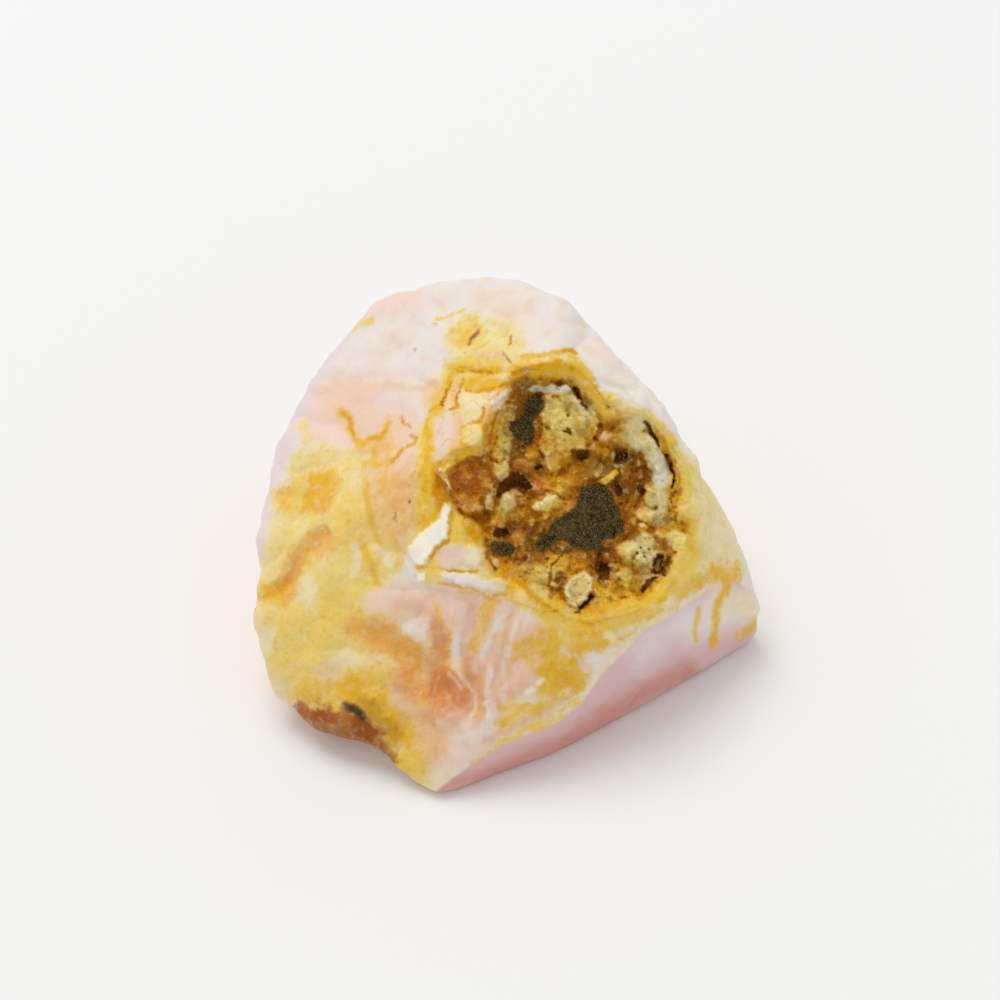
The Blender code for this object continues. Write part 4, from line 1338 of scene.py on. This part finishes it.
# %% [markdown]
# ## Cutting cracks and pits
#
# A real crack is broken off and uneven: it narrows, ends and starts again. One noise changes its
# width and another interrupts it. A web of thin mustard threads runs over the ledges, where iron
# has followed the finest cracks, and each pit has a little rust round it.

# %% Cutting cracks and pits
WEB = ((1.0, 1.1, 76), (0.4, 0.4, 77))
WEB_SHARPNESS = 12.0
WEB_DEPTH = 0.05
BREAKS = ((1.0, 0.8, 68), (0.4, 0.3, 69))
RING = 1.5  # how many times wider than a pit its rusty ring is
WIDE_PIT = 4  # a pit wider than this has a torn edge
CALMING = 0.7

web = smooth(1.0 - np.abs(swells(on_base, WEB)) * WEB_SHARPNESS, 0.0, 1.0)
web *= on_ledge * (1.0 - in_hollow)
height -= WEB_DEPTH * web
lay(crust_tint, "mustard", web * 0.55)

broken = 1.0 - 0.75 * smooth(swells(on_base, BREAKS), 0.05, 0.5)
uneven = 1.05 + 0.9 * swell(on_base, 0.9, 70)
for _, name, points, width, rise, strength in CRACKS:
    near = 1.0 - smooth(from_line(soft_edge, points) / (width * uneven), 0.1, 1.0)
    height += rise * near * broken
    lay(crust_tint, name, near * strength * broken)
for _, name, middle, reach, turn, rise, strength in PITS:
    sunk = spot(torn_edge if reach[0] > WIDE_PIT else fine_edge, middle, reach, turn)
    height += rise * sunk
    around = spot(soft_edge, middle, (RING * reach[0], RING * reach[1]), turn, WIDE_FADE)
    lay(crust_tint, "rust", around * strength * 0.3)
    lay(crust_tint, name, sunk * strength)
height -= in_hollow * calm * CALMING * lumps
print("deepest, mm:", round(height.min(), 2))

# %% [markdown]
# ## Painted shade in low places and painted highlight on tops
#
# The crust's low places are painted darker with umber, amber, rust and dark red, as painted shade,
# and its tops lighter with cream, as painted highlight. A point is low when it lies under the mean
# of its surroundings, which is what a blurred copy of the heights gives. A shader could find this
# too, but only for one engine and not for the export. At the sheet's edge the heights sink below
# the skin.

# %% Painted shade and highlight
LIFT = 0.08  # the rim shades the hollow, so its colours are laid a little lighter
DIVE = 9.0  # pixels over which the sheet's edge sinks below the skin
EDGE_DEPTH = 0.5
# Painted shade and painted highlight: reach in pixels, colour, side, start and full in
# millimetres, strength, and share on soot.
PAINTED_SHADE_AND_HIGHLIGHT = (
    (11, "umber", 1.0, 0.20, 0.90, 0.40, 0.0),
    (4, "amber", 1.0, 0.05, 0.25, 0.35, 0.0),
    (4, "rust", 1.0, 0.15, 0.50, 0.50, 0.0),
    (4, "dark_red", 1.0, 0.45, 1.0, 0.55, 1.0),
    (4, "cream", -1.0, 0.06, 0.26, 0.45, 0.0),
)

for reach, name, side, start, full, strength, on_soot in PAINTED_SHADE_AND_HIGHLIGHT:
    low_by = softened(height, reach) - height
    bare = 1.0 - (1.0 - on_soot) * soot
    lay_where(crust_tint, name, side * low_by, start, full, strength * bare * in_hollow)
crust_tint *= 1.0 + (LIFT * in_hollow * (1.0 - soot))[:, None]
height -= EDGE_DEPTH * smooth(DIVE - inside_sheet, 0.0, DIVE)
print("crust heights, mm:", round(height[keep].min(), 2), "to", round(height[keep].max(), 2))

# %% [markdown]
# ## Closing the crust
#
# The sheet moves to its heights along the lines of sight. Its border is then drawn down into the
# stone and filled, so that the crust is one closed body like the grown piece it stands for. A
# Solidify modifier would give it a thickness too, but its lower side would cut through itself
# under the deep pits. Each point carries its number in the grid, and a point of the border passes
# it on to the one drawn down from it.

# %% Closing the crust
SKIRT = 2.2 * MM
SKIRT_SHARE = 0.35  # of the stone's thickness, where the stone is thin
BELOW_SKIN = 0.6 * MM  # where the line that measures the thickness starts

sheet_places = EYE + lines_of_sight * (base_depth - height * MM)[:, None]
number = grid.verts.layers.int.new("grid_point")
for index, (vert, place) in enumerate(zip(grid.verts, sheet_places)):
    vert.co = place
    vert[number] = index
grid.verts.ensure_lookup_table()
outside = [grid.verts[i] for i in np.flatnonzero(~keep)]
bmesh.ops.delete(grid, geom=outside, context="VERTS")
lonely = [vert for vert in grid.verts if not vert.link_faces]
bmesh.ops.delete(grid, geom=lonely, context="VERTS")
if grid.faces[:][0].normal.dot(toward) < 0.0:
    bmesh.ops.reverse_faces(grid, faces=grid.faces)
border = [edge for edge in grid.edges if edge.is_boundary]
skirt = bmesh.ops.extrude_edge_only(grid, edges=border)["geom"]
low_verts = [item for item in skirt if isinstance(item, bmesh.types.BMVert)]
low_edges = [item for item in skirt if isinstance(item, bmesh.types.BMEdge) and item.is_boundary]
for vert in low_verts:
    line = (vert.co - Vector(EYE)).normalized()
    through = skin_tree.ray_cast(vert.co + line * BELOW_SKIN, line)[3] or SKIRT
    vert.co += line * min(SKIRT, SKIRT_SHARE * through)
bmesh.ops.edgeloop_fill(grid, edges=low_edges)
bmesh.ops.recalc_face_normals(grid, faces=grid.faces)
crust = new_piece("crust_in_hollow", grid)
grid_point = crust.data.attributes["grid_point"]
point_of = np.empty(len(crust.data.vertices), np.int32)
grid_point.data.foreach_get("value", point_of)
crust.data.attributes.remove(grid_point)
print("crust:", len(crust.data.vertices), "points,", len(border), "along its border")

# %% [markdown]
# ## Making room under the crust
#
# The skin gets its colours, and then it gives way under the sheet, so that it never shows through:
# far down in the hollow and a little under the ledges. Cutting a hole with a boolean would leave
# an edge that has to match the sheet's, and moving the points back along the lines of sight does
# not.

# %% Making room under the crust
GIVE = 1.8 * MM
GIVE_EDGE = (-4.0, 5.0)  # in pixels from the hollow's outline
LEDGE_GIVE = 0.5 * MM
LEDGE_GIVE_EDGE = (DIVE, DIVE + 6.0)  # in pixels from the sheet's outline
FRONT_SIDE = (-0.3, 0.1)

stone_colours = stone_tint(places, facing(places, normals))
stone_pixels = in_picture(places)
give = GIVE * smooth(into_patch(stone_pixels, HOLLOW_OUTLINE), *GIVE_EDGE)
give += LEDGE_GIVE * smooth(into_patch(stone_pixels, SHEET_OUTLINE), *LEDGE_GIVE_EDGE)
give *= smooth(normals @ -AHEAD, *FRONT_SIDE)
places += sight_lines(stone_pixels) * give[:, None]
set_places(stone.data, places)
print("skin gives way by up to", round(give.max() / MM, 2), "mm")

# %% [markdown]
# ## Helpers for shader nodes
#
# Marks too fine for the mesh are left to the shader. Its nodes can be placed by hand in the editor.
# In a script a few helpers keep that readable: noise of a known size, a sum, a ramp and a mix.

# %% Helpers for shader nodes
def group(name, inputs, outputs):
    """A new shader group with its sockets, and its input and output nodes."""
    tree = bpy.data.node_groups.new(name, "ShaderNodeTree")
    for label, kind, value in inputs:
        socket = tree.interface.new_socket(label, in_out="INPUT", socket_type=kind)
        if value is not None:
            socket.default_value = value
    for label, kind in outputs:
        tree.interface.new_socket(label, in_out="OUTPUT", socket_type=kind)
    return tree, tree.nodes.new("NodeGroupInput"), tree.nodes.new("NodeGroupOutput")


def noise_node(tree, place, size, detail, roughness=0.6):
    """Noise with features of this size in millimetres."""
    node = tree.nodes.new("ShaderNodeTexNoise")
    node.inputs["Scale"].default_value = 1.0 / (size * MM)
    node.inputs["Detail"].default_value = detail
    node.inputs["Roughness"].default_value = roughness
    tree.links.new(place, node.inputs["Vector"])
    return node


def maths(tree, operation, *values):
    """A Math node; numbers are set on it and sockets are linked to it."""
    node = tree.nodes.new("ShaderNodeMath")
    node.operation = operation
    for socket, value in zip(node.inputs, values):
        if isinstance(value, (int, float)):
            socket.default_value = value
        else:
            tree.links.new(value, socket)
    return node.outputs[0]


def ramp(tree, value, low, high, start=0.0, end=1.0):
    """A soft ramp from start to end, while the value goes from low to high."""
    node = tree.nodes.new("ShaderNodeMapRange")
    node.interpolation_type = "SMOOTHSTEP"
    for label, number in (("From Min", low), ("From Max", high), ("To Min", start), ("To Max", end)):
        node.inputs[label].default_value = number
    tree.links.new(value, node.inputs["Value"])
    return node.outputs["Result"]


def mix(tree, share, first, second, blend="MIX"):
    """A colour mix; colours may be sockets or tuples."""
    node = tree.nodes.new("ShaderNodeMix")
    node.data_type = "RGBA"
    node.blend_type = blend
    for socket, value in ((node.inputs[0], share), (node.inputs[6], first), (node.inputs[7], second)):
        if isinstance(value, (int, float, tuple)):
            socket.default_value = value
        else:
            tree.links.new(value, socket)
    return node.outputs[2]


def light_colour(name):
    """A named colour as light values, with full alpha."""
    return tuple(float(part) for part in to_light(colour(name))) + (1.0,)


# %% [markdown]
# ## The mottle of opal
#
# Under a lens the stone is never one colour: milk clouds it, and honey and clay stain it in specks,
# most where it holds iron. These are three noises of different size, each mixed in by the Strength.
# It is a group, because the stone and the crust both use it and one change then reaches both.

# %% The mottle of opal
def clouded(tree, tint, place, strength, look):
    """Mixes one noise of a colour into the tint."""
    name, size, detail, low, high, share, blend = look
    clouds = noise_node(tree, place, size, detail).outputs["Fac"]
    amount = maths(tree, "MULTIPLY", ramp(tree, clouds, low, high, 0.0, share), strength)
    return mix(tree, amount, tint, light_colour(name), blend)


# Looks: colour, size in millimetres, detail, where the noise starts and is full, share and blend.
MOTTLE_LOOKS = (
    ("milk", 0.7, 5.0, 0.50, 0.72, 0.30, "MIX"),
    ("mustard", 0.45, 4.0, 0.52, 0.75, 0.30, "MULTIPLY"),
    ("clay", 0.09, 2.0, 0.45, 0.75, 0.14, "MULTIPLY"),
)
mottle, enter, leave = group(
    "opal_mottle",
    (("Tint", "NodeSocketColor", None), ("Place", "NodeSocketVector", None),
     ("Strength", "NodeSocketFloat", 1.0)),
    (("Colour", "NodeSocketColor"),),
)
mixed = enter.outputs["Tint"]
for look in MOTTLE_LOOKS:
    mixed = clouded(mottle, mixed, enter.outputs["Place"], enter.outputs["Strength"], look)
mottle.links.new(mixed, leave.inputs["Colour"])
print(mottle.name, len(mottle.nodes), "nodes")

# %% [markdown]
# ## The waxy surface
#
# Broken opal shines like candle wax: low uneven swells with a gloss that changes a little from
# place to place. One broad and one tight noise make the height for the bump, and the tight one
# also sets the roughness, so that the gloss follows the form.

# %% The waxy surface
WAX_BROAD, WAX_TIGHT = 0.55, 0.13
TIGHT_SHARE = 0.35
WAX_GLOSS = (0.32, 0.52)

wax, enter, leave = group(
    "waxy_surface",
    (("Place", "NodeSocketVector", None), ("Depth", "NodeSocketFloat", 1.0)),
    (("Height", "NodeSocketFloat"), ("Roughness", "NodeSocketFloat")),
)
broad = noise_node(wax, enter.outputs["Place"], WAX_BROAD, 3.0).outputs["Fac"]
tight = noise_node(wax, enter.outputs["Place"], WAX_TIGHT, 3.0).outputs["Fac"]
both = maths(wax, "MULTIPLY_ADD", tight, TIGHT_SHARE, broad)
wax.links.new(maths(wax, "MULTIPLY", both, enter.outputs["Depth"]), leave.inputs["Height"])
wax.links.new(ramp(wax, tight, 0.3, 0.7, *WAX_GLOSS), leave.inputs["Roughness"])
print(wax.name, len(wax.nodes), "nodes")

# %% [markdown]
# ## The grit of the crust and its painted glints
#
# The crust is a mass of tiny crystals. A Voronoi pattern gives one cell to each of them, and the
# cell's random colour decides whether it is dark, bright or one of the rare painted glints. The
# bright cells are partly the crystals' own paler tone and partly painted sparkle, and the painted
# glints are painted highlights, specks of honey in place of reflected light. Soot hides the bright
# ones and has a fine grey speckle of its own.

# %% The grit of the crust
CRYSTAL = 0.085
SOOT_SPECK = 0.10

grit, enter, leave = group(
    "mineral_grit_and_glints",
    (("Tint", "NodeSocketColor", None), ("Place", "NodeSocketVector", None),
     ("Grit", "NodeSocketFloat", 1.0), ("Soot", "NodeSocketFloat", 0.0)),
    (("Colour", "NodeSocketColor"), ("Height", "NodeSocketFloat"), ("Roughness", "NodeSocketFloat")),
)
amount, sooty = enter.outputs["Grit"], enter.outputs["Soot"]
grain = grit.nodes.new("ShaderNodeTexVoronoi")
grain.inputs["Scale"].default_value = 1.0 / (CRYSTAL * MM)
grit.links.new(enter.outputs["Place"], grain.inputs["Vector"])
lucky = grit.nodes.new("ShaderNodeSeparateColor")
grit.links.new(grain.outputs["Color"], lucky.inputs["Color"])
bare = maths(grit, "SUBTRACT", 1.0, sooty)

dark = maths(grit, "MULTIPLY", ramp(grit, lucky.outputs[0], 0.5, 1.0, 0.0, 0.16), amount)
mixed = mix(grit, dark, enter.outputs["Tint"], light_colour("umber"))
# Bright cells: partly the crystals' own paler honey, partly painted sparkle.
bright = maths(grit, "MULTIPLY", ramp(grit, lucky.outputs[1], 0.72, 1.0, 0.0, 0.25), amount)
mixed = mix(grit, maths(grit, "MULTIPLY", bright, bare), mixed, light_colour("honey"))
fine_soot = noise_node(grit, enter.outputs["Place"], SOOT_SPECK, 3.0, 0.7).outputs["Fac"]
speck = maths(grit, "MULTIPLY", ramp(grit, fine_soot, 0.46, 0.66, 0.0, 0.60), sooty)
mixed = mix(grit, speck, mixed, light_colour("ash"))
# Painted highlight: rare honey specks that stand for glints of light on the crystals.
painted_glint = maths(grit, "MULTIPLY", ramp(grit, lucky.outputs[2], 0.975, 0.995, 0.0, 0.35), amount)
mixed = mix(grit, maths(grit, "MULTIPLY", painted_glint, bare), mixed, light_colour("honey"))
grit.links.new(mixed, leave.inputs["Colour"])
grit.links.new(maths(grit, "MULTIPLY", grain.outputs["Distance"], amount), leave.inputs["Height"])
grit.links.new(ramp(grit, lucky.outputs[0], 0.0, 1.0, 0.35, 0.85), leave.inputs["Roughness"])
print(grit.name, len(grit.nodes), "nodes")

# %% [markdown]
# ## The two materials
#
# Opal scatters light just under its skin, so the Principled shader gets some subsurface, with red
# travelling furthest. The crust is dull and gritty where the grit attribute says so, and waxy
# like the stone where the sheet runs out over the ledges.

# %% The two materials
BUMP_DEPTH = 0.06 * MM
GRIT_HEIGHT = 1.4  # how much higher the grit stands than the wax
SCATTER_DEPTH = 1.0 * MM
SCATTER_RED_GREEN_BLUE = (1.0, 0.5, 0.32)
OPAL_IOR = 1.45


def stored(tree, name, output="Fac"):
    """The socket that gives what is stored on the mesh under this name."""
    node = tree.nodes.new("ShaderNodeAttribute")
    node.attribute_name = name
    return node.outputs[output]


def placed(tree, shared, sources):
    """Places a shared group in a material and links what feeds it."""
    node = tree.nodes.new("ShaderNodeGroup")
    node.node_tree = shared
    for label, source in sources:
        tree.links.new(source, node.inputs[label])
    return node


def with_grit(tree, where, look):
    """Lays the grit over a stone's colour, height and roughness."""
    base, height_out, rough = look
    amount = stored(tree, "grit")
    gritted = placed(tree, grit, (("Tint", base), ("Place", where), ("Grit", amount),
                                  ("Soot", stored(tree, "soot"))))
    blend = tree.nodes.new("ShaderNodeMix")
    for socket, value in ((0, amount), (2, rough), (3, gritted.outputs["Roughness"])):
        tree.links.new(value, blend.inputs[socket])
    raised = maths(tree, "MULTIPLY_ADD", gritted.outputs["Height"], GRIT_HEIGHT, height_out)
    return gritted.outputs["Colour"], raised, blend.outputs[0]


def stone_material(name, gritty, bump_strength, scatter, shine):
    """Mottled waxy stone, with grit over it if the piece carries any."""
    material = bpy.data.materials.new(name)
    material.use_nodes = True
    tree = material.node_tree
    where = tree.nodes.new("ShaderNodeTexCoord").outputs["Object"]
    mottled = placed(tree, mottle, (("Tint", stored(tree, "tint", "Color")), ("Place", where),
                                    ("Strength", stored(tree, "iron"))))
    waxed = placed(tree, wax, (("Place", where),))
    waxed.inputs["Depth"].default_value = 1.0
    look = mottled.outputs["Colour"], waxed.outputs["Height"], waxed.outputs["Roughness"]
    base, height_out, rough = with_grit(tree, where, look) if gritty else look

    bump = tree.nodes.new("ShaderNodeBump")
    bump.inputs["Strength"].default_value = bump_strength
    bump.inputs["Distance"].default_value = BUMP_DEPTH
    tree.links.new(height_out, bump.inputs["Height"])
    shader = tree.nodes["Principled BSDF"]
    tree.links.new(base, shader.inputs["Base Color"])
    tree.links.new(rough, shader.inputs["Roughness"])
    tree.links.new(bump.outputs["Normal"], shader.inputs["Normal"])
    shader.inputs["Subsurface Weight"].default_value = scatter
    shader.inputs["Subsurface Radius"].default_value = SCATTER_RED_GREEN_BLUE
    shader.inputs["Subsurface Scale"].default_value = SCATTER_DEPTH
    shader.inputs["IOR"].default_value = OPAL_IOR
    shader.inputs["Specular IOR Level"].default_value = shine
    return material


opal = stone_material("opal", False, bump_strength=0.55, scatter=0.30, shine=0.22)
crusted = stone_material("crust", True, bump_strength=0.8, scatter=0.0, shine=0.06)
print(opal.name, len(opal.node_tree.nodes), "nodes,", crusted.name, len(crusted.node_tree.nodes))

# %% [markdown]
# ## Storing the colours on the meshes
#
# The materials read four attributes: the tint, how far iron stains it, the grit and the soot. The
# tint was mixed as the eye sees it, and it is stored as light values, because the renderer
# reckons with light.

# %% Storing the colours on the meshes
def paint(mesh, tint):
    """Stores the colours on the mesh, as light values."""
    layer = mesh.attributes.new("tint", "FLOAT_COLOR", "POINT")
    light = np.column_stack((to_light(np.clip(tint, 0.0, 1.0)), np.ones(len(tint))))
    layer.data.foreach_set("color", light.ravel())


def store(mesh, name, values):
    """Stores one number for each point of the mesh."""
    layer = mesh.attributes.new(name, "FLOAT", "POINT")
    layer.data.foreach_set("value", np.clip(values, 0.0, 1.0))


paint(stone.data, stone_colours)
store(stone.data, "iron", iron_in(stone_colours))

gritty = np.maximum(in_hollow, 0.5 * in_minerals) * (1.0 - 0.6 * calm)
paint(crust.data, crust_tint[point_of])
store(crust.data, "iron", (iron_in(crust_tint) * (1.0 - 0.8 * in_hollow))[point_of])
store(crust.data, "grit", gritty[point_of])
store(crust.data, "soot", soot[point_of])
for piece, material in ((stone, opal), (crust, crusted)):
    piece.data.materials.clear()
    piece.data.materials.append(material)
    piece.data.shade_smooth()
    piece.data.calc_loop_triangles()
    print(piece.name, len(piece.data.loop_triangles), "triangles")

# %% [markdown]
# ## What stands for what
#
# The skin stands for the solid stone, and the sheet for the solid crust. Both ride on the one
# body, because nothing on a stone moves.

# %% What stands for what
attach(stone, "root")
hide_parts("opal_stone")
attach(crust, "root")
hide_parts("pocket_crust")

# %% [markdown]
# ## Floor and light
#
# The stone lies on plain white card under soft light from all round, with a little more from the
# upper left, so that its shadow falls to the lower right and stays faint.

# %% Floor and light
PAPER_WHITE = (0.93, 0.93, 0.925, 1.0)
ROOM_WHITE = (1.0, 1.0, 1.0, 1.0)
ROOM_STRENGTH = 0.66
WINDOW_PLACE = (-0.32, 0.38, 1.06)
WINDOW_WIDTH = 0.8
WINDOW_WATTS = 5.3
LIT_POINT = Vector((0, 0, 0.01))

bpy.context.scene.view_settings.view_transform = "Standard"
card = bmesh.new()
bmesh.ops.create_grid(card, x_segments=1, y_segments=1, size=1.5)
floor = new_piece("floor", card)
paper = bpy.data.materials.new("paper")
paper.use_nodes = True
paper_shader = paper.node_tree.nodes["Principled BSDF"]
paper_shader.inputs["Base Color"].default_value = PAPER_WHITE
paper_shader.inputs["Roughness"].default_value = 0.9
floor.data.materials.append(paper)

room = bpy.data.worlds.new("soft_room")
room.use_nodes = True
room.node_tree.nodes["Background"].inputs["Color"].default_value = ROOM_WHITE
room.node_tree.nodes["Background"].inputs["Strength"].default_value = ROOM_STRENGTH
bpy.context.scene.world = room

window_data = bpy.data.lights.new("window", "AREA")
window_data.shape = "DISK"
window_data.size = WINDOW_WIDTH
window_data.energy = WINDOW_WATTS
window = bpy.data.objects.new("window", window_data)
window.location = WINDOW_PLACE
window.rotation_euler = (LIT_POINT - window.location).to_track_quat("-Z", "Y").to_euler()
bpy.context.scene.collection.objects.link(window)
print("window, mm from the stone:", round((window.location - LIT_POINT).length / MM))
